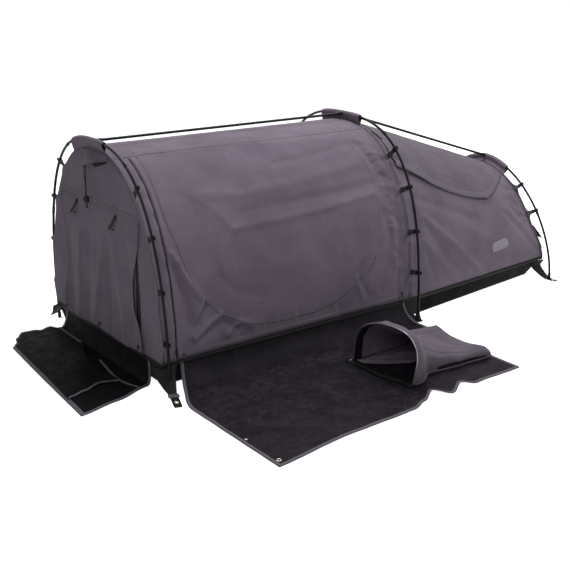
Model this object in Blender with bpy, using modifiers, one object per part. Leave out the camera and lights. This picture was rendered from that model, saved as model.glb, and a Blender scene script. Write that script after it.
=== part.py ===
"""Single dome swag bedroll, pitched on its three hoops.

Metres, +Z up, +X towards the foot end, -Y is the side with the long ground mat.
The origin is the middle of the tub's flat underside, on the ground.
"""
import math

import bmesh
import bpy
from mathutils import Matrix, Vector

# Tub
TUB_LENGTH = 2.160
TUB_WALL = 0.003
TUB_HEIGHT = 0.092
TUB_FOOT_HEIGHT = 0.106
TUB_BASE_INSET = 0.018
TUB_FOOT_INSET = 0.070
TUB_CORNER = 0.030
TUB_RIM_CORNER = 0.006
TUB_CORNER_STEPS = 3

# Canopy section at the head, middle and foot: half width, height over the ground and fullness
MID_FROM_HEAD = 1.237
HEAD_HALF_WIDTH = 0.440
MID_HALF_WIDTH = 0.456
FOOT_HALF_WIDTH = 0.420
HEAD_CROWN = 0.826
MID_CROWN = 0.810
FOOT_CROWN = 0.500
HEAD_FULLNESS = 2.20
MID_FULLNESS = 2.25
FOOT_FULLNESS = 1.60
CANVAS = 0.003
SEAM_GAP = 0.0005
RIM_GAP = 0.0005
FOLD_DEPTH = 0.010
FOOT_SEAM_GAP = 0.0018

# Openings in the canopy
ZIP_FROM_HEAD = 0.065
ZIP_FROM_MID = 0.056
ROOF_STRIP_HALF = 0.130
MESH = 0.0015

# Poles
POLE_DIAMETER = 0.0095
FOOT_CLEARANCE = 0.0009
HEAD_HOOP_STAND_OFF = 0.028
MID_HOOP_STAND_OFF = 0.048
FOOT_HOOP_STAND_OFF = 0.0535
RIDGE_HOOP_RISE = 0.027
FOOT_HOOP_RISE = 0.031
HEAD_HOOP_FULLNESS = 2.67
MID_HOOP_FULLNESS = 2.79
FOOT_HOOP_FULLNESS = 1.74
HEAD_HOOP_INSET = 0.018
FOOT_HOOP_INSET = 0.008
MID_HOOP_PAST_SEAM = 0.005
HEAD_HOOP_LEAN = -0.019
MID_HOOP_LEAN = -0.013
FOOT_HOOP_LEAN = 0.023

# Canvas sleeves over the hoops' tops
SLEEVE_HALF_LENGTH = 0.128
HEAD_SLEEVE_SHIFT = 0.058
MID_SLEEVE_SHIFT = 0.030
FOOT_SLEEVE_SHIFT = -0.028
SLEEVE_RADIUS = 0.0115
SLEEVE_BORE_CLEARANCE = 0.0008
SLEEVE_SEAM = 0.0025

# Clips that hang the canvas from the hoops
CLIP_LENGTH = 0.014
CLIP_WALL = 0.0028
CLIP_CLEARANCE = 0.0004
CLIP_ARM = 0.0045
CLIP_TAB_GAP = 0.0006
CLIP_STEP = 0.00025
CLIP_WRAP_SHARE = 0.78

# Corner straps
STRAP_THICKNESS = 0.0025
STRAP_WIDTH = 0.032
STRAP_ROOT_WIDTH = 0.078
STRAP_TAPER = 0.070
STRAP_END = 0.042
STRAP_FOOT_END = 0.018
STRAP_SHORT_REACH = 0.085
STRAP_FOOT_REACH = 0.165
STRAP_LONG_REACH = 0.215
HEAD_STRAP_LEAN = -0.38
EYELET_BORE = 0.011

# Head end: door flap, hood, toggles and drawcord
DOOR_HALF_WIDTH = 0.322
DOOR_TOP = 0.592
DOOR_WAIST_SHARE = 0.86
DOOR_SILL_GAP = 0.006
DOOR_FOLD = 0.012
WINDOW_HALF_WIDTH = 0.240
WINDOW_SILL = 0.160
WINDOW_HEIGHT = 0.390
WINDOW_SEAM = 0.020
HOOD_HALF_WIDTH = 0.105
HOOD_ROOT = 0.800
HOOD_REACH = 0.044
HOOD_DROP = 0.036
HOOD_SIDE_SHARE = 0.6
TOGGLE_LENGTH = 0.046
TOGGLE_DIAMETER = 0.006
TOGGLE_TAPE_WIDTH = 0.006
TOGGLE_TAPE = 0.0015
TOGGLE_FAR_Y = 0.190
TOGGLE_NEAR_Y = -0.130
TOGGLE_DROP = 0.048
CORD_DIAMETER = 0.003
CORD_GAP = 0.0016
LOCK_DIAMETER = 0.016
LOCK_HEIGHT = 0.020
LOCK_SLOT_LENGTH = 0.0092
LOCK_BORE_FLOOR = 0.0006
LOCK_BORE_CLEARANCE = 0.0006
LOCK_SLOT_WIDTH = 0.0046
LOCK_CENTRE = 0.634
LOCK_BUTTON_DIAMETER = 0.009
LOCK_BUTTON_HEIGHT = 0.007
LOCK_BUTTON_SEAT = 0.001
LOCK_BUTTON_TRAVEL = 0.0035

# Roof flaps on the foot section
FLAP_FROM_MID = 0.022
FLAP_FROM_FOOT = 0.126
FLAP_SWEEP = 0.270
FLAP_GAP = 0.0020
FLAP_LOW_ANGLE = math.radians(41)
FLAP_ROWS = 10
FLAP_COLUMNS = 8

# Side mat and boot hood
MAT_THICKNESS = 0.0025
MAT_GAP = 0.0004
MAT_LENGTH = 1.210
MAT_DEPTH = 0.740
MAT_SLANT = 0.088
MAT_LEFT_NOTCH = 0.095
MAT_PAST_HEAD = 0.013
MAT_DRAPE = 0.110
MAT_DRAPE_REACH = 0.080
MAT_NOTCH_SHARE = 0.35
MAT_LIFT_SHARE = 0.90
MAT_ROW_SHARES = (0.12, 0.30, 0.55)
MAT_RIPPLE = 0.009
MAT_FRONT_REACH = 0.060
BOOT_MOUTH_FROM_MAT_END = 0.478
BOOT_LENGTH = 0.451
BOOT_MOUTH_WIDTH = 0.314
BOOT_MOUTH_HEIGHT = 0.208
BOOT_REAR_WIDTH = 0.316
BOOT_REAR_HEIGHT = 0.060
BOOT_REAR_SAG = 0.036
BOOT_FROM_FRONT = 0.095
BOOT_APEX_SHIFT = -0.055
BOOT_CANVAS = 0.0025
BOOT_FALL_SHARE = 0.8
BOOT_WIRE = 0.005

# Head mat and its pocket
HEAD_MAT_WIDTH = 0.790
HEAD_MAT_DEPTH = 0.345
HEAD_MAT_SLANT = 0.060
HEAD_MAT_SHIFT = -0.050
HEAD_MAT_DRAPE = 0.036
POCKET_FROM_TUB = 0.075
POCKET_RISE = 0.020
POCKET_EDGE = 0.012

# Mattress
MATTRESS_HEIGHT = 0.060
MATTRESS_CROWN = 0.012
MATTRESS_CLEARANCE = 0.012

# Worked out from the sizes above
HEAD_X = -TUB_LENGTH / 2
FOOT_X = TUB_LENGTH / 2
MID_X = HEAD_X + MID_FROM_HEAD
CANVAS_HEAD_X = HEAD_X + CANVAS + SEAM_GAP
CANVAS_FOOT_X = FOOT_X - CANVAS - SEAM_GAP
ZIP_HEAD_X = HEAD_X + ZIP_FROM_HEAD
ZIP_MID_X = MID_X - ZIP_FROM_MID
POLE_RADIUS = POLE_DIAMETER / 2
SIDES = {"near": -1, "far": 1}

# Shares of each hoop's height where its clips hang, from the ground up
HEAD_CLIP_SHARES = (0.200, 0.430, 0.659, 0.853)
MID_CLIP_SHARES = (0.257, 0.472, 0.693, 0.871)
FOOT_CLIP_SHARES = (0.597, 0.802)

# Front edge of the side mat: share of its length, share of the ripple's reach
MAT_FRONT_SHARES = (
    (0.0, 0.0), (0.24, 0.25), (0.52, 0.10), (0.58, 0.45), (0.64, 1.0),
    (0.69, 0.15), (0.76, 0.75), (0.80, 0.20), (1.0, 0.0),
)

WELD_DISTANCE = 0.00001

parts = bpy.data.collections.new("swag_bedroll")
guides = bpy.data.collections.new("cutters")


def lerp(low, high, share):
    """Value a share of the way from low to high."""
    return low + (high - low) * share


def smooth(share):
    """Share eased at both ends and held between nought and one."""
    held = min(max(share, 0), 1)
    return held * held * (3 - 2 * held)


def spread(low, high, steps):
    """Evenly spaced values from low to high, ends included."""
    return [lerp(low, high, index / steps) for index in range(steps + 1)]


def material(name, colour, roughness, metallic=0.0):
    """Principled material with a plain colour."""
    made = bpy.data.materials.new(name)
    made.use_nodes = True
    shader = made.node_tree.nodes["Principled BSDF"]
    shader.inputs["Base Color"].default_value = (*colour, 1.0)
    shader.inputs["Roughness"].default_value = roughness
    shader.inputs["Metallic"].default_value = metallic
    return made


def canvas_material(name):
    """Grey-mauve ripstop canvas."""
    return material(name, (0.155, 0.128, 0.142), 0.9)


def vinyl_material(name):
    """Black coated fabric of the tub and mats."""
    return material(name, (0.025, 0.023, 0.025), 0.6)


def keep(item, finish, pivot=None):
    """Put an object among the parts, dress it and set its origin on its joint."""
    for owner in list(item.users_collection):
        owner.objects.unlink(item)
    parts.objects.link(item)
    item.data.materials.clear()
    item.data.materials.append(finish)
    if pivot is not None:
        item.data.transform(Matrix.Translation(-Vector(pivot)) @ item.matrix_world)
        item.matrix_world = Matrix.Translation(Vector(pivot))
    return item


def new_object(name, mesh):
    """Object in the scene for a mesh."""
    item = bpy.data.objects.new(name, mesh)
    bpy.context.scene.collection.objects.link(item)
    return item


def mesh_from(name, points, faces):
    """Mesh object from points and faces of a loft."""
    mesh = bpy.data.meshes.new(name)
    mesh.from_pydata([tuple(point) for point in points], [], faces)
    mesh.update()
    return new_object(name, mesh)


def grid_faces(rows, columns, skipped=()):
    """Quads of a grid of points, without the skipped cells."""
    faces = []
    for row in range(rows - 1):
        for column in range(columns - 1):
            if (row, column) in skipped:
                continue
            corner = row * columns + column
            faces.append((corner, corner + 1, corner + columns + 1, corner + columns))
    return faces


def sheet(name, rows, thickness, skipped=(), flip=False):
    """Cloth from rows of points on its outer face, thickened inwards."""
    columns = len(rows[0])
    points = [point for row in rows for point in row]
    faces = grid_faces(len(rows), columns, skipped)
    if flip:
        faces = [tuple(reversed(face)) for face in faces]
    item = mesh_from(name, points, faces)
    if skipped:
        model = bmesh.new()
        model.from_mesh(item.data)
        loose = [vert for vert in model.verts if not vert.link_faces]
        bmesh.ops.delete(model, geom=loose, context="VERTS")
        model.to_mesh(item.data)
        model.free()
    solid = item.modifiers.new("Thickness", "SOLIDIFY")
    solid.thickness = thickness
    solid.offset = -1
    solid.use_even_offset = True
    return item


def tube(name, points, diameter, resolution=2):
    """Round rod along a path."""
    curve = bpy.data.curves.new(name, "CURVE")
    curve.dimensions = "3D"
    curve.bevel_depth = diameter / 2
    curve.bevel_resolution = resolution
    curve.use_fill_caps = True
    spline = curve.splines.new("POLY")
    spline.points.add(len(points) - 1)
    for target, point in zip(spline.points, points):
        target.co = (*point, 1)
    return new_object(name, curve)


def as_mesh(item):
    """Mesh object in place of a curve, with its caps welded."""
    graph = bpy.context.evaluated_depsgraph_get()
    mesh = bpy.data.meshes.new_from_object(item.evaluated_get(graph))
    model = bmesh.new()
    model.from_mesh(mesh)
    bmesh.ops.remove_doubles(model, verts=model.verts, dist=WELD_DISTANCE)
    model.to_mesh(mesh)
    model.free()
    name = item.name
    matrix = item.matrix_world.copy()
    bpy.data.objects.remove(item)
    made = new_object(name, mesh)
    made.matrix_world = matrix
    return made


def outline_plate(name, outlines, thickness):
    """Flat plate in its own XY plane from an outer outline and any holes."""
    curve = bpy.data.curves.new(name, "CURVE")
    curve.dimensions = "2D"
    curve.fill_mode = "BOTH"
    curve.extrude = thickness / 2
    for points in outlines:
        spline = curve.splines.new("POLY")
        spline.points.add(len(points) - 1)
        spline.use_cyclic_u = True
        for target, point in zip(spline.points, points):
            target.co = (*point, 0, 1)
    return new_object(name, curve)


def cut(item, cutter, operation="DIFFERENCE"):
    """Boolean with another object, which becomes a hidden guide."""
    for owner in list(cutter.users_collection):
        owner.objects.unlink(cutter)
    guides.objects.link(cutter)
    cutter.hide_render = True
    cutter.display_type = "WIRE"
    step = item.modifiers.new(operation.title(), "BOOLEAN")
    step.operation = operation
    step.object = cutter
    return item


def cylinder(name, diameter, height, sides=16):
    """Upright cylinder about its own centre."""
    mesh = bpy.data.meshes.new(name)
    model = bmesh.new()
    bmesh.ops.create_cone(
        model, cap_ends=True, segments=sides, radius1=diameter / 2,
        radius2=diameter / 2, depth=height,
    )
    model.to_mesh(mesh)
    model.free()
    return new_object(name, mesh)


def block(name, size):
    """Box about its own centre."""
    mesh = bpy.data.meshes.new(name)
    model = bmesh.new()
    bmesh.ops.create_cube(model, size=1, matrix=Matrix.Diagonal((*size, 1)))
    model.to_mesh(mesh)
    model.free()
    return new_object(name, mesh)


def arch(half_width, height, fullness, angle):
    """Point of a superellipse arch, from its -Y foot at zero to its +Y foot at pi."""
    across = math.cos(angle)
    upright = math.sin(angle)
    y = -half_width * math.copysign(abs(across) ** (2 / fullness), across)
    return y, height * abs(upright) ** (2 / fullness)


def tub_top(x):
    """Height of the tub's rim, which rises over the foot section."""
    share = max((x - MID_X) / (FOOT_X - MID_X), 0)
    return lerp(TUB_HEIGHT, TUB_FOOT_HEIGHT, min(share, 1))


def section_share(x):
    """Canopy stations either side of a place along the tub, and the share between them."""
    head = (HEAD_HALF_WIDTH, HEAD_CROWN, HEAD_FULLNESS)
    middle = (MID_HALF_WIDTH, MID_CROWN, MID_FULLNESS)
    foot = (FOOT_HALF_WIDTH, FOOT_CROWN, FOOT_FULLNESS)
    if x <= MID_X:
        return head, middle, (x - HEAD_X) / (MID_X - HEAD_X)
    return middle, foot, (x - MID_X) / (FOOT_X - MID_X)


def canopy_point(x, angle):
    """Point on the outer face of the canvas."""
    low, high, share = section_share(x)
    base = tub_top(x) + RIM_GAP
    ends = [arch(width, crown - base, fullness, angle) for width, crown, fullness in (low, high)]
    y = lerp(ends[0][0], ends[1][0], share)
    z = lerp(ends[0][1], ends[1][1], share)
    return Vector((x, y, base + z))


def canopy_half_width(x):
    """Half width of the canvas where it meets the tub."""
    low, high, share = section_share(x)
    return lerp(low[0], high[0], share)


def canopy_normal(x, angle):
    """Outward direction of the canvas."""
    step = POLE_RADIUS / TUB_LENGTH
    inside = x - step if x > (CANVAS_HEAD_X + CANVAS_FOOT_X) / 2 else x + step
    along = (canopy_point(x, angle) - canopy_point(inside, angle)) * (x - inside)
    lower = max(angle - step, 0)
    upper = min(angle + step, math.pi)
    around = canopy_point(x, upper) - canopy_point(x, lower)
    return along.cross(around).normalized()


def offset_point(x, angle, offset):
    """Point a little off the canvas, outwards if positive."""
    return canopy_point(x, angle) + canopy_normal(x, angle) * offset


def angle_at(x, y):
    """Section angle of a place across the canopy, on the -Y side if y is negative."""
    low, high, share = section_share(x)
    fullness = lerp(low[2], high[2], share)
    across = min(abs(y) / canopy_half_width(x), 1)
    quarter = math.acos(across ** (fullness / 2))
    return quarter if y < 0 else math.pi - quarter


ROOF_ANGLE = angle_at(HEAD_X, -ROOF_STRIP_HALF)
SIDE_STEPS = 10
ROOF_STEPS = 4


def canopy_angles():
    """Section angles shared by the canvas pieces, so that their facets line up."""
    near = spread(0, ROOF_ANGLE, SIDE_STEPS)
    roof = spread(ROOF_ANGLE, math.pi - ROOF_ANGLE, ROOF_STEPS)
    far = spread(math.pi - ROOF_ANGLE, math.pi, SIDE_STEPS)
    return near + roof[1:] + far[1:]


def foot_fold(x, angle):
    """Slanting folds that run from the middle hoop down towards the foot."""
    low_share = 1 - min(angle, math.pi - angle) / ROOF_ANGLE
    along = (x - MID_X) / (FOOT_X - MID_X)
    wave = math.cos(math.pi * 2 * (2.2 * along - 1.3 * low_share))
    fade = smooth(low_share * 2.4 - 0.7) * math.sin(math.pi * along) * smooth((1 - low_share) * 4)
    return -FOLD_DEPTH * fade * (1 - wave) / 2


# Tub and mattress
def base_inset(x):
    """How far the tub's underside is drawn in from its rim, more so at the foot."""
    share = max((x - MID_X) / (FOOT_X - MID_X), 0)
    return lerp(TUB_BASE_INSET, TUB_FOOT_INSET, share)


def rounded_plan(drawn, inset, corner):
    """Plan of the tub's rim, or of its underside if drawn is 1, with rounded corners."""
    end = TUB_LENGTH / 2 - TUB_BASE_INSET * drawn - inset
    head = canopy_half_width(HEAD_X) - base_inset(HEAD_X) * drawn - inset
    middle = canopy_half_width(MID_X) - base_inset(MID_X) * drawn - inset
    foot = canopy_half_width(FOOT_X) - base_inset(FOOT_X) * drawn - inset
    corners = [(-end, -head, 2), (end, -foot, 3), (end, foot, 0), (-end, head, 1)]
    points = []
    for x, y, quarter in corners:
        centre_x = x - math.copysign(corner, x)
        centre_y = y - math.copysign(corner, y)
        start = math.pi / 2 * quarter
        for turn in spread(start, start + math.pi / 2, TUB_CORNER_STEPS):
            points.append((centre_x + corner * math.cos(turn), centre_y + corner * math.sin(turn)))
        if quarter % 2 == 0:
            points.append((MID_X, math.copysign(middle, y)))
    return points


def make_tub():
    """Open tub of coated fabric under the whole swag, with a level rim."""
    rings = []
    for drawn, inset, corner, rise in ((1, 0, TUB_CORNER, 0), (0, 0, TUB_RIM_CORNER, 1)):
        ring = rounded_plan(drawn, inset, corner)
        rings.append([Vector((x, y, tub_top(x) * rise)) for x, y in ring])
    inner = rounded_plan(0, TUB_WALL, TUB_RIM_CORNER - TUB_WALL)
    rings.append([Vector((x, y, rim.z)) for (x, y), rim in zip(inner, rings[1])])
    floor = rounded_plan(1, TUB_WALL, TUB_CORNER - TUB_WALL)
    rings.append([Vector((x, y, TUB_WALL)) for x, y in floor])
    count = len(floor)
    faces = [tuple(range(count - 1, -1, -1)), tuple(range(3 * count, 4 * count))]
    for ring in range(3):
        for index in range(count):
            after = (index + 1) % count
            low = ring * count
            faces.append((low + index, low + after, low + count + after, low + count + index))
    item = mesh_from("tub", [point for ring in rings for point in ring], faces)
    outward(item)
    keep(item, vinyl_material("tub_vinyl"))


def make_mattress():
    """Foam mattress in its cover, tapered to the tub and crowned on top."""
    mesh = bpy.data.meshes.new("mattress")
    model = bmesh.new()
    bmesh.ops.create_cube(model, size=2)
    bmesh.ops.subdivide_edges(model, edges=model.edges, cuts=5, use_grid_fill=True)
    margin = TUB_BASE_INSET + TUB_WALL + MATTRESS_CLEARANCE
    side_margin = TUB_WALL + MATTRESS_CLEARANCE
    for vert in model.verts:
        share_x, share_y, share_z = vert.co
        x = share_x * (TUB_LENGTH / 2 - margin)
        narrow = 1 - abs(share_z) ** 4 * MATTRESS_CROWN / HEAD_HALF_WIDTH
        y = share_y * (tub_base_half(x) - side_margin) * narrow
        z = TUB_WALL + SEAM_GAP + MATTRESS_HEIGHT * (share_z + 1) / 2
        if share_z > 0:
            z += MATTRESS_CROWN * share_z * (1 - share_x ** 4) * (1 - share_y ** 4)
        vert.co = (x * narrow, y, z)
    model.to_mesh(mesh)
    model.free()
    keep(new_object("mattress", mesh), material("mattress_cover", (0.30, 0.30, 0.31), 0.9))


# Canopy
def make_canopy():
    """Canvas of the head section, with its side openings, and of the foot section."""
    angles = canopy_angles()
    columns = [CANVAS_HEAD_X, ZIP_HEAD_X, ZIP_MID_X, MID_X - SEAM_GAP / 2]
    rows = [[canopy_point(x, angle) for angle in angles] for x in columns]
    roof_cells = range(SIDE_STEPS, SIDE_STEPS + ROOF_STEPS)
    skipped = {
        (row, column)
        for row in range(1, len(columns) - 2)
        for column in range(len(angles) - 1)
        if column not in roof_cells
    }
    item = sheet("canopy_head", rows, CANVAS, skipped, flip=True)
    keep(item, canvas_material("canopy_head_canvas"))

    columns = spread(MID_X + FOOT_SEAM_GAP, CANVAS_FOOT_X, 12)
    rows = [[offset_point(x, angle, foot_fold(x, angle)) for angle in angles] for x in columns]
    item = sheet("canopy_foot", rows, CANVAS, flip=True)
    keep(item, canvas_material("canopy_foot_canvas"))


def section_outline(x):
    """Outline of an end wall, as (y, z) points from one tub corner to the other."""
    return [tuple(canopy_point(x, angle))[1:] for angle in canopy_angles()]


def upright_plate(name, outlines, thickness, x):
    """Plate across the swag with its head-side face at x, from (y, z) outlines."""
    item = outline_plate(name, outlines, thickness)
    turn = Matrix(((0, 0, 1, x + thickness / 2), (1, 0, 0, 0), (0, 1, 0, 0), (0, 0, 0, 1)))
    item.matrix_world = turn
    return as_mesh(item)


def window_outline(margin):
    """Rectangle of the head window, grown by a margin."""
    half = WINDOW_HALF_WIDTH + margin
    low = WINDOW_SILL - margin
    high = WINDOW_SILL + WINDOW_HEIGHT + margin
    return [(-half, low), (half, low), (half, high), (-half, high)]


def make_end_walls():
    """Head wall with its window and mesh, and the plain foot wall."""
    wall = upright_plate(
        "head_wall", [section_outline(HEAD_X), window_outline(0)], CANVAS, HEAD_X)
    keep(wall, canvas_material("head_wall_canvas"))
    mesh = upright_plate(
        "head_mesh", [window_outline(WINDOW_SEAM)], MESH, HEAD_X + CANVAS + SEAM_GAP)
    keep(mesh, material("head_mesh_net", (0.02, 0.02, 0.02), 0.8))
    wall = upright_plate("foot_wall", [section_outline(FOOT_X)], CANVAS, FOOT_X - CANVAS)
    keep(wall, canvas_material("foot_wall_canvas"))


def make_side_panels():
    """Side doors that lift into awnings, each with a mesh door lying against it."""
    columns = spread(ZIP_HEAD_X + SEAM_GAP, ZIP_MID_X - SEAM_GAP, 2)
    angles = spread(0, ROOF_ANGLE, SIDE_STEPS)
    for side, sign in SIDES.items():
        flip = sign < 0
        top = [canopy_point(x, ROOF_ANGLE) for x in (ZIP_HEAD_X, ZIP_MID_X)]
        pivot = (top[0] + top[1]) / 2
        pivot.y *= -sign

        def place(x, angle, offset, sign=sign):
            point = offset_point(x, angle, offset)
            point.y *= -sign
            return point

        edge = SEAM_GAP / HEAD_HALF_WIDTH
        panel_angles = angles[:-1] + [ROOF_ANGLE - edge]
        rows = [[place(x, angle, 0) for angle in panel_angles] for x in columns]
        item = sheet("side_panel_" + side, rows, CANVAS, flip=flip)
        keep(item, canvas_material("side_panel_canvas_" + side), pivot)

        rows = [[place(x, angle, -CANVAS - SEAM_GAP) for angle in panel_angles] for x in columns]
        item = sheet("mesh_door_" + side, rows, MESH, flip=flip)
        keep(item, material("mesh_door_net_" + side, (0.02, 0.02, 0.02), 0.8), pivot)


def facet_point(x, angle, offset):
    """Point a little off the flat facets of the canvas, not off its true curve."""
    grid = canopy_angles()
    for low, high in zip(grid, grid[1:]):
        if angle <= high:
            break
    share = (angle - low) / (high - low)
    middle = canopy_normal(x, (low + high) / 2)
    return canopy_point(x, low).lerp(canopy_point(x, high), share) + middle * offset


def make_roof_flaps():
    """Rain flaps over the foot section, one each side of its ridge."""
    start = MID_X + FLAP_FROM_MID
    longest = FOOT_X - FLAP_FROM_FOOT - start
    grid = canopy_angles()
    root = grid[SIDE_STEPS + 1]
    low = FLAP_LOW_ANGLE
    shares = spread(0, 1, FLAP_ROWS)
    for side, sign in SIDES.items():
        rows = []
        for share in shares:
            angle = lerp(root, low, share)
            length = longest * (1 - FLAP_SWEEP * share ** 4)
            row = []
            for x in spread(start, start + length, FLAP_COLUMNS):
                gap = lerp(SEAM_GAP, FLAP_GAP, smooth(share * FLAP_ROWS / 3))
                point = facet_point(x, angle, gap + CANVAS)
                point.y *= -sign
                row.append(point)
            rows.append(row)
        pivot = (rows[0][0] + rows[0][-1]) / 2
        item = sheet("roof_flap_" + side, rows, CANVAS, flip=sign < 0)
        keep(item, canvas_material("roof_flap_canvas_" + side), pivot)


# Poles, sleeves and clips
CLIP_SHARES = {"head": HEAD_CLIP_SHARES, "mid": MID_CLIP_SHARES, "foot": FOOT_CLIP_SHARES}
HOOP_STEPS = 15
HOOPS = {
    "head": (HEAD_X + HEAD_HOOP_INSET, HEAD_HOOP_LEAN, HEAD_HALF_WIDTH + HEAD_HOOP_STAND_OFF,
             HEAD_CROWN + RIDGE_HOOP_RISE, HEAD_HOOP_FULLNESS),
    "mid": (MID_X + MID_HOOP_PAST_SEAM, MID_HOOP_LEAN, MID_HALF_WIDTH + MID_HOOP_STAND_OFF,
            MID_CROWN + RIDGE_HOOP_RISE, MID_HOOP_FULLNESS),
    "foot": (FOOT_X - FOOT_HOOP_INSET, FOOT_HOOP_LEAN, FOOT_HALF_WIDTH + FOOT_HOOP_STAND_OFF,
             FOOT_CROWN + FOOT_HOOP_RISE, FOOT_HOOP_FULLNESS),
}


def hoop_point(hoop, angle):
    """Point on the centre line of a hoop."""
    x, lean, half_width, height, fullness = HOOPS[hoop]
    foot = STRAP_THICKNESS + FOOT_CLEARANCE
    y, z = arch(half_width, height - foot, fullness, angle)
    return Vector((x + lean * z / height, y, foot + z))


def height_angle(hoop, share):
    """Angle at which a hoop reaches a share of its height."""
    return math.asin(share ** (HOOPS[hoop][4] / 2))


def hoop_line(hoop):
    """Points along a hoop, evenly spaced but straight under each clip."""
    fine = [hoop_point(hoop, angle) for angle in spread(0, math.pi / 2, 400)]
    runs = [0]
    for low, high in zip(fine, fine[1:]):
        runs.append(runs[-1] + (high - low).length)
    held = []
    for share in CLIP_SHARES[hoop]:
        at = runs[round(height_angle(hoop, share) / (math.pi / 2) * 400)]
        held.append((at - CLIP_LENGTH, at + CLIP_LENGTH))
    marks = [mark for span in held for mark in span]
    for mark in spread(0, runs[-1], HOOP_STEPS):
        if all(mark < low - CLIP_LENGTH or mark > high + CLIP_LENGTH for low, high in held):
            marks.append(mark)
    half = [at_run(fine, runs, mark) for mark in sorted(marks)]
    mirrored = [Vector((point.x, -point.y, point.z)) for point in reversed(half[:-1])]
    return half + mirrored


def at_run(points, runs, run):
    """Point a run along a line of points."""
    for index in range(1, len(runs)):
        if run <= runs[index]:
            share = (run - runs[index - 1]) / (runs[index] - runs[index - 1])
            return points[index - 1].lerp(points[index], share)
    return points[-1]


def clip_seat(hoop, share):
    """Centre and direction of the straight piece of hoop under a clip."""
    line = hoop_line(hoop)
    height = HOOPS[hoop][3] * share
    for low, high in zip(line, line[1:]):
        if high.z >= height:
            return (low + high) / 2, (high - low).normalized()
    return line[0], Vector((0, 0, 1))


def make_poles():
    """Three bent hoops and two ridge poles."""
    for hoop in HOOPS:
        item = tube(hoop + "_hoop", hoop_line(hoop), POLE_DIAMETER)
        keep(item, material(hoop + "_hoop_pole", (0.02, 0.02, 0.022), 0.35, 0.6))
    for name, start, end in (("front", "head", "mid"), ("rear", "mid", "foot")):
        low = hoop_point(start, math.pi / 2)
        high = hoop_point(end, math.pi / 2)
        along = (high - low).normalized()
        reach = (SLEEVE_RADIUS + SEAM_GAP) / along.x
        item = tube("ridge_pole_" + name, spread_points(low + along * reach,
                                                        high - along * reach, 3), POLE_DIAMETER)
        keep(item, material("ridge_pole_finish_" + name, (0.02, 0.02, 0.022), 0.35, 0.6))


def spread_points(start, end, steps):
    """Evenly spaced points on a straight line."""
    return [start.lerp(end, index / steps) for index in range(steps + 1)]


def sleeve_line(hoop, shift):
    """The hoop's own points inside a sleeve, with its ends."""
    line = hoop_line(hoop)
    low = shift - SLEEVE_HALF_LENGTH
    high = shift + SLEEVE_HALF_LENGTH
    points = []
    for before, after in zip(line, line[1:]):
        for mark in (low, high):
            if before.y < mark <= after.y:
                points.append(before.lerp(after, (mark - before.y) / (after.y - before.y)))
        if low < after.y < high:
            points.append(after)
    return sorted(points, key=lambda point: point.y)


def make_sleeves():
    """Canvas sleeves that hang the ridge from the hoops."""
    shifts = {"head": HEAD_SLEEVE_SHIFT, "mid": MID_SLEEVE_SHIFT, "foot": FOOT_SLEEVE_SHIFT}
    bore = POLE_RADIUS + SLEEVE_BORE_CLEARANCE
    sides = 12
    for hoop, shift in shifts.items():
        line = sleeve_line(hoop, shift)
        steps = len(line) - 1
        points = []
        for index, centre in enumerate(line):
            before = line[max(index - 1, 0)]
            after = line[min(index + 1, steps)]
            along = (after - before).normalized()
            out = Vector((1, 0, 0)).cross(along).normalized()
            side_way = along.cross(out).normalized()
            drop = centre.z - canopy_top_under(centre) - SLEEVE_SEAM
            lean = min(max(centre.x, CANVAS_HEAD_X), CANVAS_FOOT_X) - centre.x
            for turn in turns(sides):
                lift = math.cos(turn)
                upright = out * SLEEVE_RADIUS * lift
                if lift < 0:
                    upright = Vector((lean * lift ** 4, 0, max(drop, SLEEVE_RADIUS) * lift))
                points.append(centre + upright + side_way * math.sin(turn) * SLEEVE_RADIUS)
            for turn in turns(sides):
                points.append(centre + (out * math.cos(turn) + side_way * math.sin(turn)) * bore)
        ring = 2 * sides
        faces = []
        for step in range(steps):
            for index in range(sides):
                after = (index + 1) % sides
                base = step * ring
                outer = (base + index, base + after, base + ring + after, base + ring + index)
                faces.append(outer)
                faces.append(tuple(reversed([corner + sides for corner in outer])))
        last = steps * ring
        for index in range(sides):
            after = (index + 1) % sides
            faces.append((index, sides + index, sides + after, after))
            faces.append((last + index, last + after, last + sides + after, last + sides + index))
        item = mesh_from(hoop + "_sleeve", points, faces)
        outward(item)
        keep(item, canvas_material(hoop + "_sleeve_canvas"))


def turns(sides):
    """Angles of a ring of points."""
    return [2 * math.pi * index / sides for index in range(sides)]


def canopy_top_under(place):
    """Height of the canvas under a place near the ridge."""
    x = min(max(place.x, CANVAS_HEAD_X), CANVAS_FOOT_X)
    return canopy_point(x, angle_at(x, place.y)).z


def outward(item):
    """Turn a closed mesh's faces to point out."""
    model = bmesh.new()
    model.from_mesh(item.data)
    bmesh.ops.recalc_face_normals(model, faces=model.faces)
    model.to_mesh(item.data)
    model.free()


def clip_outline(arm):
    """Hook round the pole, open on the outer side, with an arm to the canvas."""
    inner = POLE_RADIUS + CLIP_CLEARANCE
    outer = inner + CLIP_WALL
    half_arm = math.asin(CLIP_ARM / 2 / outer)
    mouth = math.pi * CLIP_WRAP_SHARE
    points = [(arm, -CLIP_ARM / 2), (arm, CLIP_ARM / 2)]
    for turn in spread(half_arm, mouth, 5):
        points.append((outer * math.cos(turn), outer * math.sin(turn)))
    for turn in spread(mouth, -mouth, 8):
        points.append((inner * math.cos(turn), inner * math.sin(turn)))
    for turn in spread(-mouth, -half_arm, 5):
        points.append((outer * math.cos(turn), outer * math.sin(turn)))
    return points


def clip_x(hoop):
    """Place along the tub of the canvas that a hoop's clips hold."""
    edges = {
        "head": CANVAS_HEAD_X + CLIP_LENGTH / 2,
        "mid": MID_X,
        "foot": CANVAS_FOOT_X - CLIP_LENGTH / 2,
    }
    return edges[hoop]


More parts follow.
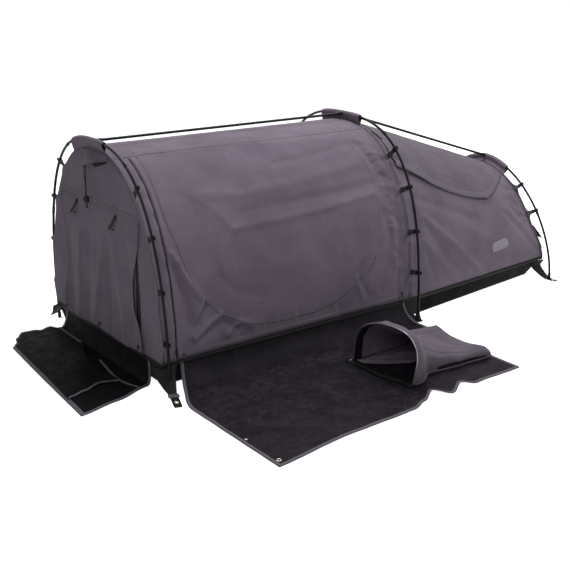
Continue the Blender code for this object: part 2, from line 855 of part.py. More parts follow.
def make_clips():
    """Plastic hooks on their tabs, in pairs up both sides of each hoop."""
    for hoop, shares in CLIP_SHARES.items():
        for number, share in enumerate(shares, 1):
            centre, along = clip_seat(hoop, share)
            arm_way = nearest_canvas(hoop, centre) - centre
            arm_way -= along * arm_way.dot(along)
            longest = arm_way.length
            arm_way.normalize()
            third = along.cross(arm_way)
            arm = clip_arm(centre, (arm_way, third, along), longest)
            for side, sign in SIDES.items():
                name = "clip_" + hoop + "_" + side + "_" + str(number)
                item = outline_plate(name, [clip_outline(arm)], CLIP_LENGTH)
                turn = Matrix((arm_way, third, along)).transposed().to_4x4()
                turn.translation = centre
                if sign > 0:
                    turn = Matrix.Diagonal((1, -1, 1, 1)) @ turn
                item.matrix_world = turn
                item = as_mesh(item)
                item.data.transform(item.matrix_world)
                item.matrix_world = Matrix.Identity(4)
                outward(item)
                keep(item, material(name + "_plastic", (0.015, 0.015, 0.016), 0.45))


def nearest_canvas(hoop, place):
    """Canvas point that a clip's arm reaches for."""
    x = clip_x(hoop)
    return min(
        (canopy_point(x, angle) for angle in spread(0, math.pi / 2, 90)),
        key=lambda point: (point - place).length,
    )


def outside_canvas(place):
    """Whether a place on the -Y side is outside the canvas."""
    x = min(max(place.x, HEAD_X), FOOT_X)
    if -place.y >= canopy_half_width(x):
        return True
    return place.z > canopy_point(x, angle_at(x, place.y)).z


def clip_arm(centre, axes, longest):
    """Length of arm that brings a clip's tab to the canvas without touching it."""
    arm_way, third, along = axes
    arm = POLE_RADIUS + CLIP_CLEARANCE + CLIP_WALL
    while arm < longest:
        tip = centre + arm_way * (arm + CLIP_TAB_GAP)
        corners = [
            tip + third * CLIP_ARM / 2 * side + along * CLIP_LENGTH / 2 * end
            for side in (-1, 1) for end in (-1, 1)
        ]
        if not all(outside_canvas(corner) for corner in corners):
            break
        arm += CLIP_STEP
    return arm - CLIP_STEP


# Corner straps
def strap_outline(reach):
    """Strap lying on the ground: wide at the tub, narrow past the pole's foot."""
    half_root = STRAP_ROOT_WIDTH / 2
    half = STRAP_WIDTH / 2
    return [(0, -half_root), (STRAP_TAPER, -half), (reach, -half),
            (reach, half), (STRAP_TAPER, half), (0, half_root)]


def ring_points(centre, radius, sides):
    """Circle as points."""
    return [(centre + radius * math.cos(2 * math.pi * index / sides),
             radius * math.sin(2 * math.pi * index / sides)) for index in range(sides)]


def strap_reach(hoop, side):
    """How far a strap lies past the tub, and how far its eyelet is from its end."""
    if hoop == "foot":
        return STRAP_FOOT_REACH, STRAP_FOOT_END
    if hoop == "head" and side == "near":
        return STRAP_LONG_REACH, STRAP_END
    return STRAP_SHORT_REACH, STRAP_END


def make_straps():
    """Six straps under the hoops' feet, each with an eyelet for a peg."""
    for hoop in HOOPS:
        foot = hoop_point(hoop, 0)
        lean = HEAD_STRAP_LEAN if hoop == "head" else 0
        slope = base_inset(foot.x) / tub_top(foot.x)
        root_y = -(tub_base_half(foot.x) + SEAM_GAP + STRAP_THICKNESS * slope + TUB_WALL)
        way = Vector((lean, -1, 0)).normalized()
        root = Vector((foot.x - way.x / way.y * (foot.y - root_y), root_y, 0))
        clear = STRAP_ROOT_WIDTH / 2 * abs(way.x)
        root += way * clear
        for side, sign in SIDES.items():
            name = "strap_" + hoop + "_" + side
            reach, end = strap_reach(hoop, side)
            eyelet = ring_points(reach - end, EYELET_BORE / 2, 10)
            item = outline_plate(name, [strap_outline(reach), eyelet], STRAP_THICKNESS)
            third = Vector((0, 0, 1))
            across = third.cross(way)
            turn = Matrix((way, across, third)).transposed().to_4x4()
            turn.translation = root + third * STRAP_THICKNESS / 2
            if sign > 0:
                turn = Matrix.Diagonal((1, -1, 1, 1)) @ turn
            item.matrix_world = turn
            item = as_mesh(item)
            item.data.transform(item.matrix_world)
            item.matrix_world = Matrix.Identity(4)
            outward(item)
            keep(item, vinyl_material(name + "_webbing"))


def tub_base_half(x):
    """Half width of the tub's underside."""
    return canopy_half_width(x) - base_inset(x)


# Head end
HEAD_FACE = HEAD_X - SEAM_GAP


def door_depth(share_y, share_z):
    """How far the door flap stands off the head wall: upright folds that grow downwards."""
    wave = (1 - math.cos(math.pi * 2 * 4.5 * (share_y + 1) / 2)) / 2
    return DOOR_FOLD * wave * smooth(share_z * 1.4)


def make_head_door():
    """Door flap over the head window, hanging in upright folds."""
    low = TUB_HEIGHT + DOOR_SILL_GAP
    rows = []
    for share_z in spread(0, 1, 6):
        waist = 1 - (1 - DOOR_WAIST_SHARE) * math.sin(math.pi * share_z) ** 2
        row = []
        for share_y in spread(-1, 1, 27):
            x = HEAD_FACE - CANVAS - door_depth(share_y, share_z)
            row.append(Vector((x, share_y * DOOR_HALF_WIDTH * waist, lerp(DOOR_TOP, low, share_z))))
        rows.append(row)
    item = sheet("head_door", rows, CANVAS)
    keep(item, canvas_material("head_door_canvas"), (HEAD_FACE, 0, DOOR_TOP))


def make_hood():
    """Brim of canvas over the head vent, drawn to a tip at its middle."""
    rows = []
    steps = 12
    for share in spread(-1, 1, steps):
        reach = (1 - abs(share)) ** 1.1
        row = []
        for out in spread(0, 1, 3):
            x = HEAD_FACE - (HOOD_REACH * reach + CANVAS) * out - CANVAS
            y = share * HOOD_HALF_WIDTH
            root = HOOD_ROOT - (HEAD_CROWN - HOOD_ROOT) * share * share
            row.append(Vector((x, y, root - HOOD_DROP * out * lerp(HOOD_SIDE_SHARE, 1, reach))))
        rows.append(row)
    item = sheet("vent_hood", rows, CANVAS, flip=True)
    keep(item, canvas_material("vent_hood_canvas"), (HEAD_FACE, 0, HOOD_ROOT))


def make_toggles():
    """Toggle bars on short tapes, which hold the rolled door flap."""
    face = HEAD_FACE - CANVAS - DOOR_FOLD / 2 - TOGGLE_DIAMETER
    for side, y in (("near", TOGGLE_NEAR_Y), ("far", TOGGLE_FAR_Y)):
        item = cylinder("toggle_" + side, TOGGLE_DIAMETER, TOGGLE_LENGTH, 10)
        place = Vector((face, y, DOOR_TOP - TOGGLE_DROP))
        item.data.transform(Matrix.Translation(place) @ Matrix.Rotation(math.pi / 2, 4, "X"))
        top = Vector((HEAD_FACE - CANVAS - SEAM_GAP - TOGGLE_TAPE / 2, y, DOOR_TOP))
        run = top - place
        tape = block("tape_" + side, (TOGGLE_TAPE, TOGGLE_TAPE_WIDTH, run.length))
        lean = math.atan2(run.x, run.z)
        tape.data.transform(Matrix.Translation(place + run / 2) @ Matrix.Rotation(lean, 4, "Y"))
        cut(item, tape, "UNION")
        keep(item, material("toggle_plastic_" + side, (0.02, 0.02, 0.02), 0.5),
             (HEAD_FACE, 0, DOOR_TOP))


def cord_points(sign):
    """Route of one leg of the drawcord, from the hood's tip to its tail."""
    tip_x = HEAD_FACE - HOOD_REACH
    slope = HOOD_DROP / (HOOD_REACH + CANVAS)
    under = HOOD_ROOT - slope * (HOOD_REACH + CORD_DIAMETER / 2 - CANVAS)
    tip_z = under - CANVAS * math.sqrt(1 + slope * slope) - CORD_GAP
    route = (
        (0.0000, 0.0035, 0.0000), (0.0000, 0.0048, -0.0100), (0.0000, 0.0058, -0.0240),
        (0.0000, 0.0052, -0.0400), (0.0000, 0.0034, -0.0540), (0.0000, 0.0023, -0.0660),
        (0.0000, 0.0023, -0.0800), (0.0000, 0.0023, -0.1000), (0.0000, 0.0023, -0.1200),
        (0.0000, 0.0023, -0.1400), (0.0000, 0.0026, -0.1480), (0.0000, 0.0036, -0.1580),
    )
    return [Vector((tip_x + x, sign * y, tip_z + z)) for x, y, z in route]


def make_cord():
    """Drawcord in two legs, with its lock and the lock's button."""
    pivot = (HEAD_FACE, 0, HOOD_ROOT)
    for side, sign in SIDES.items():
        item = tube("drawcord_" + side, cord_points(sign), CORD_DIAMETER)
        item = as_mesh(item)
        keep(item, material("drawcord_braid_" + side, (0.02, 0.02, 0.02), 0.85), pivot)
    middle = Vector((HEAD_FACE - HOOD_REACH, 0, LOCK_CENTRE))
    body = cylinder("cord_lock", LOCK_DIAMETER, LOCK_HEIGHT, 20)
    body.data.transform(Matrix.Translation(middle))
    slot = block("lock_slot", (LOCK_SLOT_WIDTH, LOCK_SLOT_LENGTH, LOCK_HEIGHT * 2))
    slot.data.transform(Matrix.Translation(middle))
    cut(body, slot)
    floor = LOCK_SLOT_WIDTH / 2 + LOCK_BORE_FLOOR
    bore = cylinder("lock_bore", LOCK_BUTTON_DIAMETER + LOCK_BORE_CLEARANCE, LOCK_DIAMETER, 14)
    lay = Matrix.Rotation(math.pi / 2, 4, "Y")
    shift = Vector((-floor - LOCK_DIAMETER / 2, 0, 0))
    bore.data.transform(Matrix.Translation(middle + shift) @ lay)
    cut(body, bore)
    keep(body, material("cord_lock_plastic", (0.012, 0.012, 0.012), 0.4), middle)
    button = cylinder("cord_button", LOCK_BUTTON_DIAMETER, LOCK_BUTTON_HEIGHT, 14)
    stand = LOCK_DIAMETER / 2 - LOCK_BUTTON_SEAT + LOCK_BUTTON_HEIGHT / 2
    place = middle - Vector((stand, 0, 0))
    button.data.transform(Matrix.Translation(place) @ lay)
    keep(button, material("cord_button_plastic", (0.02, 0.02, 0.02), 0.35), place)


# Side mat, boot hood and head mat
MAT_TOP_Z = TUB_HEIGHT - CANVAS
MAT_X = HEAD_X - MAT_PAST_HEAD


def front_share(share):
    """Reach of the ripple in the mat's front edge."""
    for (low_x, low_y), (high_x, high_y) in zip(MAT_FRONT_SHARES, MAT_FRONT_SHARES[1:]):
        if share <= high_x:
            return lerp(low_y, high_y, smooth((share - low_x) / (high_x - low_x)))
    return 0


def mat_root_y(x):
    """Place of the mat's outer face where it is sewn to the tub's side."""
    drawn = TUB_BASE_INSET * (1 - MAT_TOP_Z / TUB_HEIGHT)
    return -(canopy_half_width(x) - drawn + MAT_GAP + MAT_THICKNESS)


def mat_point(share_x, drape, share_y):
    """Point on the mat's upper face: down the tub's side, then out over the ground."""
    right = MAT_X + MAT_LENGTH
    front_y = share_y * (1 - MAT_DRAPE / MAT_DEPTH) + MAT_DRAPE / MAT_DEPTH * drape
    notch = MAT_LEFT_NOTCH * (1 - smooth(front_y / MAT_NOTCH_SHARE))
    x = lerp(MAT_X + notch, right, share_x)
    start_y = mat_root_y(x)
    turn = math.pi / 2 * drape
    y = start_y - MAT_DRAPE_REACH * (1 - math.cos(turn))
    z = lerp(MAT_TOP_Z, MAT_THICKNESS, math.sin(turn))
    ripple = front_share(share_x)
    front = start_y - MAT_DEPTH + MAT_SLANT * share_x + MAT_FRONT_REACH * ripple * share_y ** 2
    y = lerp(y, front, share_y)
    z += MAT_RIPPLE * ripple * smooth((share_y - MAT_LIFT_SHARE) / (1 - MAT_LIFT_SHARE))
    return Vector((x, y, z))


def make_side_mat():
    """Ground mat that hangs from the tub's rim and lies out from the near side."""
    shares = sorted(set(spread(0, 1, 8)) | {share for share, reach in MAT_FRONT_SHARES})
    rows = [[mat_point(share, drape, 0) for share in shares] for drape in spread(0, 1, 5)]
    for share_y in (*MAT_ROW_SHARES, MAT_LIFT_SHARE, 1):
        rows.append([mat_point(share, 1, share_y) for share in shares])
    item = sheet("side_mat", rows, MAT_THICKNESS, flip=True)
    keep(item, vinyl_material("side_mat_vinyl"), mat_pivot())


def mat_pivot():
    """Middle of the mat's sewn edge."""
    x = MAT_X + MAT_LENGTH / 2
    return Vector((x, mat_root_y(x), MAT_TOP_Z))


BOOT_X = MAT_X + MAT_LENGTH - BOOT_MOUTH_FROM_MAT_END
BOOT_Y = -(HEAD_HALF_WIDTH + MAT_DEPTH - MAT_SLANT - BOOT_FROM_FRONT - BOOT_MOUTH_WIDTH / 2)
BOOT_Z = MAT_THICKNESS + SEAM_GAP


def boot_arch(share, angle):
    """Point on the boot hood, from its open mouth to its low rear end."""
    ease = smooth(share)
    half = lerp(BOOT_MOUTH_WIDTH, BOOT_REAR_WIDTH, ease) / 2
    height = lerp(BOOT_MOUTH_HEIGHT, BOOT_REAR_HEIGHT, share ** BOOT_FALL_SHARE)
    y, z = arch(half, height, lerp(2.7, 3.4, ease), angle)
    up = math.sin(angle)
    y += BOOT_APEX_SHIFT * up * up * (1 - ease)
    z -= BOOT_REAR_SAG * up ** 4 * ease
    return Vector((BOOT_X + BOOT_LENGTH * share, BOOT_Y + y, BOOT_Z + z))


def make_boot_hood():
    """Tunnel of canvas on the mat that keeps boots dry, held open by a wire hoop."""
    rows = []
    angles = spread(0, math.pi, 18)
    for share in spread(0, 1, 8):
        rows.append([boot_arch(share, angle) for angle in angles])
    item = mesh_from(*boot_mesh(rows))
    solid = item.modifiers.new("Thickness", "SOLIDIFY")
    solid.thickness = BOOT_CANVAS
    solid.offset = -1
    keep(item, canvas_material("boot_hood_canvas"))
    points = [boot_arch(0, angle) for angle in spread(0, math.pi, 20)]
    gap = BOOT_WIRE / 2 + SEAM_GAP
    points = [Vector((BOOT_X - gap, point.y, point.z + BOOT_WIRE / 2)) for point in points]
    item = tube("boot_hoop", points, BOOT_WIRE)
    item = as_mesh(item)
    keep(item, material("boot_hoop_wire", (0.25, 0.24, 0.26), 0.4, 0.8), boot_pivot())


def boot_mesh(rows):
    """Hood surface with its rear end closed by a fan of faces."""
    columns = len(rows[0])
    points = [point for row in rows for point in row]
    faces = grid_faces(len(rows), columns)
    start = (len(rows) - 1) * columns
    centre = len(points)
    last = rows[-1]
    points.append(Vector((last[0].x, (last[0].y + last[-1].y) / 2, BOOT_Z)))
    for index in range(columns - 1):
        faces.append((start + index, start + index + 1, centre))
    return "boot_hood", points, [tuple(reversed(face)) for face in faces]


def boot_pivot():
    """Middle of the line that the wire hoop folds about."""
    return Vector((BOOT_X - BOOT_WIRE / 2 - SEAM_GAP, BOOT_Y, BOOT_Z + BOOT_WIRE / 2))


HEAD_MAT_ROOT_X = HEAD_X + TUB_BASE_INSET * (1 - MAT_TOP_Z / TUB_HEIGHT) - MAT_GAP - MAT_THICKNESS


def head_mat_point(share_y, drape, share_x):
    """Point on the head mat's upper face: down the tub's end, then out over the ground."""
    start_x = HEAD_MAT_ROOT_X
    y_low = HEAD_MAT_SHIFT - HEAD_MAT_WIDTH / 2 - HEAD_MAT_SLANT / 2 * share_x
    turn = math.pi / 2 * drape
    x = start_x - HEAD_MAT_DRAPE * (1 - math.cos(turn))
    z = lerp(MAT_TOP_Z, MAT_THICKNESS, math.sin(turn))
    x = lerp(x, start_x - HEAD_MAT_DEPTH + HEAD_MAT_SLANT * share_y, share_x)
    return Vector((x, lerp(y_low, y_low + HEAD_MAT_WIDTH, share_y), z))


def make_head_mat():
    """Small mat at the head end, with a pocket sewn on it along three edges."""
    pivot = (HEAD_MAT_ROOT_X, HEAD_MAT_SHIFT, MAT_TOP_Z)
    across = spread(0, 1, 2)
    rows = [[head_mat_point(share_y, drape, 0) for share_y in across]
            for drape in spread(0, 1, 5)]
    rows.append([head_mat_point(share_y, 1, 1) for share_y in across])
    item = sheet("head_mat", rows, MAT_THICKNESS)
    keep(item, vinyl_material("head_mat_vinyl"), pivot)

    edge = POCKET_EDGE / HEAD_MAT_WIDTH
    lying = HEAD_MAT_DEPTH - HEAD_MAT_DRAPE
    rows = []
    for share_x in spread(POCKET_FROM_TUB / lying, 1 - POCKET_EDGE / lying, 6):
        fall = 1 - smooth(share_x)
        row = []
        for share_y in spread(edge, 1 - edge, 12):
            point = head_mat_point(share_y, 1, share_x)
            hump = math.sin(math.pi * (share_y - edge) / (1 - 2 * edge)) ** 2
            point.z += MAT_THICKNESS + SEAM_GAP + POCKET_RISE * hump * fall
            row.append(point)
        rows.append(row)
    item = sheet("head_pocket", rows, MAT_THICKNESS)
    keep(item, vinyl_material("head_pocket_vinyl"), pivot)


def main():
    """Build the swag from the ground up."""
    for item in list(bpy.data.objects):
        bpy.data.objects.remove(item, do_unlink=True)
    bpy.context.scene.collection.children.link(parts)
    bpy.context.scene.collection.children.link(guides)
    make_tub()
    make_mattress()
    make_canopy()
    make_end_walls()
    make_side_panels()
    make_roof_flaps()
    make_poles()
    make_sleeves()
    make_clips()
    make_straps()
    make_head_door()
    make_hood()
    make_toggles()
    make_cord()
    make_side_mat()
    make_boot_hood()
    make_head_mat()


main()
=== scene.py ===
"""Looks of a single dome swag bedroll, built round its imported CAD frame.

Metres, +Z up, +X towards the foot end, -Y is the side with the long ground mat.
"""

import logging
import math
from dataclasses import dataclass, field
from enum import Enum
from functools import cached_property
from typing import Callable, Optional, Sequence

import bmesh
import bpy
from mathutils import Matrix, Vector, noise


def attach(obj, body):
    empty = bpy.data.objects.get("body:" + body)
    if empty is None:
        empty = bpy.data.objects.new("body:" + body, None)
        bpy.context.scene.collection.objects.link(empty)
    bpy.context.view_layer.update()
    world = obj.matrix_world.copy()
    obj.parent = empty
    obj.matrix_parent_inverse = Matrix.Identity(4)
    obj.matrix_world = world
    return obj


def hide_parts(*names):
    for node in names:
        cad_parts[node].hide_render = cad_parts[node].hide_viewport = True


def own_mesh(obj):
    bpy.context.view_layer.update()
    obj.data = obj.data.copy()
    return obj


LOG = logging.getLogger("swag_bedroll")
MM = 0.001
UP = Vector((0.0, 0.0, 1.0))
ALONG = Vector((1.0, 0.0, 0.0))
ACROSS = Vector((0.0, 1.0, 0.0))
CLOTH_UV = "Cloth"
CANVAS_THICK = 1.4 * MM

Rows = list[list[Vector]]
Place = tuple[float, float]

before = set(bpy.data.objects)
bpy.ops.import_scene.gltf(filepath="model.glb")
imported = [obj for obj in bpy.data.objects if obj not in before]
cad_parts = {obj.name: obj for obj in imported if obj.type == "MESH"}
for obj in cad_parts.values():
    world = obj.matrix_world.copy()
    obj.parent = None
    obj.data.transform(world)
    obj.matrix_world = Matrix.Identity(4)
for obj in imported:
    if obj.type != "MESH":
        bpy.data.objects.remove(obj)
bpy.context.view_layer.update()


class Side(Enum):
    """The two long sides of the swag."""

    NEAR = -1
    FAR = 1

    @property
    def word(self) -> str:
        """Name of the side in piece names."""
        return self.name.lower()

    def angle(self, near: float) -> float:
        """Section angle of this side for one of the near side."""
        return near if self is Side.NEAR else math.pi - near


class Body(str, Enum):
    """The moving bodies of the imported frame."""

    SHELTER = "shelter"
    DOOR_FLAP = "door_flap"
    HOOD = "hood"
    GROUND_MAT = "ground_mat"
    HEAD_MAT = "head_ground_mat"
    BOOT_WIRE = "boot_wire"
    LOCK = "lock"
    BUTTON = "lock_button"
    DOOR_NEAR = "side_door_near"
    DOOR_FAR = "side_door_far"
    FLAP_NEAR = "roof_flap_near"
    FLAP_FAR = "roof_flap_far"


SIDE_DOOR = {Side.NEAR: Body.DOOR_NEAR, Side.FAR: Body.DOOR_FAR}
ROOF_FLAP = {Side.NEAR: Body.FLAP_NEAR, Side.FAR: Body.FLAP_FAR}


def lerp(low: float, high: float, share: float) -> float:
    """Value a share of the way from low to high."""
    return low + (high - low) * share


def smooth(share: float) -> float:
    """Share eased at both ends and held between nought and one."""
    held = min(max(share, 0.0), 1.0)
    return held * held * (3.0 - 2.0 * held)


def spread(low: float, high: float, steps: int) -> list[float]:
    """Evenly spaced values from low to high, ends included."""
    return [lerp(low, high, index / steps) for index in range(steps + 1)]


def bell(distance: float, width: float) -> float:
    """One at no distance, falling smoothly to nothing past a few widths."""
    return math.exp(-((distance / width) ** 2))


def wobble(x: float, y: float, size: float, seed: float) -> float:
    """Smooth noise from about -1 to 1 whose lumps are about size across."""
    return noise.noise(Vector((x / size, y / size, seed)))


def through(points: Sequence[Vector], steps: int) -> list[Vector]:
    """Smooth curve through points.

    Args:
        points: The points that the curve passes.
        steps: Points made for each stretch.

    Returns:
        The curve's points, ends included.
    """
    held = [points[0], *points, points[-1]]
    made = []
    for a, b, c, d in zip(held, held[1:], held[2:], held[3:]):
        for share in spread(0.0, 1.0, steps)[:-1]:
            square = share * share
            cube = square * share
            made.append((b * 2 + (c - a) * share + (a * 2 - b * 5 + c * 4 - d) * square
                         + (b * 3 - a - c * 3 + d) * cube) / 2)
    return made + [points[-1].copy()]


def through_places(places: Sequence[Place], steps: int) -> list[Place]:
    """Smooth curve through places given as two values each."""
    points = through([Vector((u, v, 0.0)) for u, v in places], steps)
    return [(point.x, point.y) for point in points]


def evenly(places: Sequence[Place], count: int) -> list[Place]:
    """Places spaced evenly along a curve.

    Args:
        places: The curve's places.
        count: Stretches made of it.

    Returns:
        The new places, ends included.
    """
    runs = [0.0]
    for (u, v), (next_u, next_v) in zip(places, places[1:]):
        runs.append(runs[-1] + math.hypot(next_u - u, next_v - v))
    made = []
    index = 0
    for run in spread(0.0, runs[-1], count):
        while index < len(places) - 2 and runs[index + 1] < run:
            index += 1
        share = (run - runs[index]) / max(runs[index + 1] - runs[index], 1e-9)
        made.append((lerp(places[index][0], places[index + 1][0], share),
                     lerp(places[index][1], places[index + 1][1], share)))
    return made


def circle(radius: float, turns: Sequence[float]) -> list[Place]:
    """Places on a circle about nought, at some angles."""
    return [(radius * math.cos(turn), radius * math.sin(turn)) for turn in turns]


def between(table: Sequence[Place], at: float) -> float:
    """Value of a table of (place, value) pairs at a place, eased between them.

    Args:
        table: Pairs of a place and its value, in order.
        at: The place asked for.

    Returns:
        The value there.
    """
    if at <= table[0][0]:
        return table[0][1]
    for (low_at, low), (high_at, high) in zip(table, table[1:]):
        if at <= high_at:
            return lerp(low, high, smooth((at - low_at) / (high_at - low_at)))
    return table[-1][1]


class Surface:
    """Cloth shape given by a function of two values, with its normal and its runs in metres."""

    def __init__(self, place: Callable[[float, float], Vector], turned: bool = False,
                 step: float = 0.0004) -> None:
        """Keeps the shape's function.

        Args:
            place: Point of the shape for two values.
            turned: Whether the outer face is the other one.
            step: Small change of a value that finds a slope.
        """
        self.place = place
        self.turned = turned
        self.step = step

    def slopes(self, u: float, v: float) -> tuple[Vector, Vector]:
        """How the point moves with each value.

        Args:
            u: First value.
            v: Second value.

        Returns:
            Metres moved for each value's change.
        """
        step = self.step
        along = (self.place(u + step, v) - self.place(u - step, v)) / (2 * step)
        across = (self.place(u, v + step) - self.place(u, v - step)) / (2 * step)
        return along, across

    def normal(self, u: float, v: float) -> Vector:
        """Outward direction.

        Args:
            u: First value.
            v: Second value.

        Returns:
            The direction.
        """
        along, across = self.slopes(u, v)
        out = along.cross(across).normalized()
        return -out if self.turned else out

    def at(self, u: float, v: float, lift: float = 0.0) -> Vector:
        """Point of the shape, or a lift off it."""
        point = self.place(u, v)
        return point + self.normal(u, v) * lift if lift else point

    def moved(self, u: float, v: float, way: Vector, run: float) -> Place:
        """The two values at a run in metres from a place, in a direction.

        Args:
            u: First value.
            v: Second value.
            way: Direction in space.
            run: Metres to go.

        Returns:
            The two values there.
        """
        along, across = self.slopes(u, v)
        a, b, c = along.dot(along), along.dot(across), across.dot(across)
        p, q = way.dot(along), way.dot(across)
        scale = a * c - b * b
        if abs(scale) < 1e-12:
            return u, v
        return u + (p * c - q * b) / scale * run, v + (q * a - p * b) / scale * run

    def grid(self, us: Sequence[float], vs: Sequence[float], lift: float = 0.0) -> Rows:
        """Rows of points for two lists of values."""
        return [[self.at(u, v, lift) for v in vs] for u in us]


def linear(hex_colour: str) -> tuple[float, float, float, float]:
    """Linear colour of an sRGB hex value.

    Args:
        hex_colour: Six hex digits.

    Returns:
        Red, green, blue and an alpha of one.
    """
    parts = [int(hex_colour[index:index + 2], 16) / 255 for index in (0, 2, 4)]
    made = [part / 12.92 if part <= 0.04045 else ((part + 0.055) / 1.055) ** 2.4 for part in parts]
    return made[0], made[1], made[2], 1.0


def feed(tree: bpy.types.NodeTree, target: bpy.types.NodeSocket, value: object) -> None:
    """Links an input to an output socket, or else sets its value.

    Args:
        tree: Where the nodes are.
        target: The input.
        value: A value, or an output socket.
    """
    if isinstance(value, bpy.types.NodeSocket):
        tree.links.new(value, target)
    else:
        target.default_value = value


def add_node(tree: bpy.types.NodeTree, kind: str, sockets: Optional[dict] = None,
             **settings: object) -> bpy.types.Node:
    """Adds a node with its settings, values and links.

    Args:
        tree: Where the node goes.
        kind: Name of the node's type, without its first word.
        sockets: Values or output sockets for inputs, by name or number.
        **settings: Attributes of the node.

    Returns:
        The new node.
    """
    made = tree.nodes.new("ShaderNode" + kind)
    for name, value in settings.items():
        setattr(made, name, value)
    for name, value in (sockets or {}).items():
        feed(tree, made.inputs[name], value)
    return made


def seen_plainly(tree: bpy.types.NodeTree) -> bpy.types.NodeSocket:
    """One for rays from the camera, mirrored or refracted, and nothing for rays that light.

    Args:
        tree: Where the nodes go.

    Returns:
        The socket with the result.
    """
    path = add_node(tree, "LightPath").outputs
    seen = path["Is Camera Ray"]
    for ray in ("Is Glossy Ray", "Is Transmission Ray"):
        seen = add_node(tree, "Math", {0: seen, 1: path[ray]}, operation="MAXIMUM").outputs[0]
    return seen


class Shading:
    """Material in the making: its principled shader, and short ways to add nodes to it."""

    def __init__(self, name: str, roughness: float, metallic: float = 0.0, index: float = 1.25
                 ) -> None:
        """Starts the material.

        Args:
            name: The material's name.
            roughness: Roughness where nothing drives it.
            metallic: How metallic it is.
            index: Refractive index, which sets how pale it turns at a slant.
        """
        self.material = bpy.data.materials.new(name)
        self.material.use_nodes = True
        self.tree = self.material.node_tree
        self.shader = self.tree.nodes["Principled BSDF"]
        self.put({"Roughness": roughness, "Metallic": metallic, "IOR": index})

    @cached_property
    def cloth(self) -> bpy.types.NodeSocket:
        """Place on the flat cloth, in metres."""
        return add_node(self.tree, "UVMap", uv_map=CLOTH_UV).outputs["UV"]

    @cached_property
    def body(self) -> bpy.types.NodeSocket:
        """Place in the piece's own space, in metres."""
        return add_node(self.tree, "TexCoord").outputs["Object"]

    def put(self, values: dict[str, object]) -> None:
        """Sets or links inputs of the shader by their names."""
        for name, value in values.items():
            feed(self.tree, self.shader.inputs[name], value)

    def reckon(self, operation: str, *values: object) -> bpy.types.NodeSocket:
        """Result of a sum on values or sockets."""
        return add_node(self.tree, "Math", dict(enumerate(values)), operation=operation).outputs[0]

    def clouds(self, place: bpy.types.NodeSocket, size: float, detail: float, **more: float
              ) -> bpy.types.NodeSocket:
        """Clouds about size metres across."""
        return add_node(self.tree, "TexNoise", {
            "Vector": place, "Scale": 1 / size, "Detail": detail, **more}).outputs["Fac"]

    def stretched(self, place: bpy.types.NodeSocket, scale: Sequence[float], turn: float = 0.0
                  ) -> bpy.types.NodeSocket:
        """Place scaled each way and turned about the upright."""
        return add_node(self.tree, "Mapping", {
            "Vector": place, "Rotation": (0.0, 0.0, turn), "Scale": scale}).outputs[0]

    def bands(self, place: bpy.types.NodeSocket, pitch: float, way: str,
              more: Optional[dict[str, float]] = None) -> bpy.types.NodeSocket:
        """Waves with one crest in each pitch, in metres.

        Args:
            place: Where the waves lie.
            pitch: Metres from crest to crest.
            way: Direction of the bands.
            more: Other inputs by name.

        Returns:
            The waves' socket.
        """
        return add_node(self.tree, "TexWave", {
            "Vector": place, "Scale": math.pi / 10 / pitch, **(more or {})},
            bands_direction=way).outputs["Fac"]

    def woven(self, place: bpy.types.NodeSocket, pitch: float, ways: Sequence[str] = ("X", "Y"),
              more: Optional[dict[str, float]] = None) -> bpy.types.NodeSocket:
        """Crossing of two bands of threads."""
        return self.reckon("MULTIPLY", *[self.bands(place, pitch, way, more) for way in ways])

    def span(self, value: bpy.types.NodeSocket, low: float, high: float,
             start: float = 0.0, end: float = 1.0) -> bpy.types.NodeSocket:
        """Value from start to end laid out from low to high.

        Args:
            value: The value.
            low: Result at the start.
            high: Result at the end.
            start: Where it starts.
            end: Where it ends.

        Returns:
            The result's socket.
        """
        return add_node(self.tree, "MapRange", {
            "Value": value, "From Min": start, "From Max": end, "To Min": low, "To Max": high}
        ).outputs[0]

    def ramp(self, value: bpy.types.NodeSocket, *stops: tuple[float, str]) -> bpy.types.NodeSocket:
        """Colour that goes from one stop to the other.

        Args:
            value: What picks the colour.
            *stops: Two pairs of a position and a hex colour.

        Returns:
            The colour's socket.
        """
        made = add_node(self.tree, "ValToRGB", {"Fac": value})
        for element, (position, colour) in zip(made.color_ramp.elements, stops):
            element.position = position
            element.color = linear(colour)
        return made.outputs["Color"]

    def mix(self, share: object, low: object, high: object, blend: str = "MIX"
            ) -> bpy.types.NodeSocket:
        """Blend of two colours."""
        return add_node(self.tree, "Mix", {"Factor": share, 6: low, 7: high}, data_type="RGBA",
                        blend_type=blend).outputs[2]

    def bump(self, height: bpy.types.NodeSocket, strength: float, depth: float, **more: object
             ) -> bpy.types.NodeSocket:
        """Normal tilted by a height."""
        return add_node(self.tree, "Bump", {
            "Height": height, "Strength": strength, "Distance": depth, **more}).outputs[0]


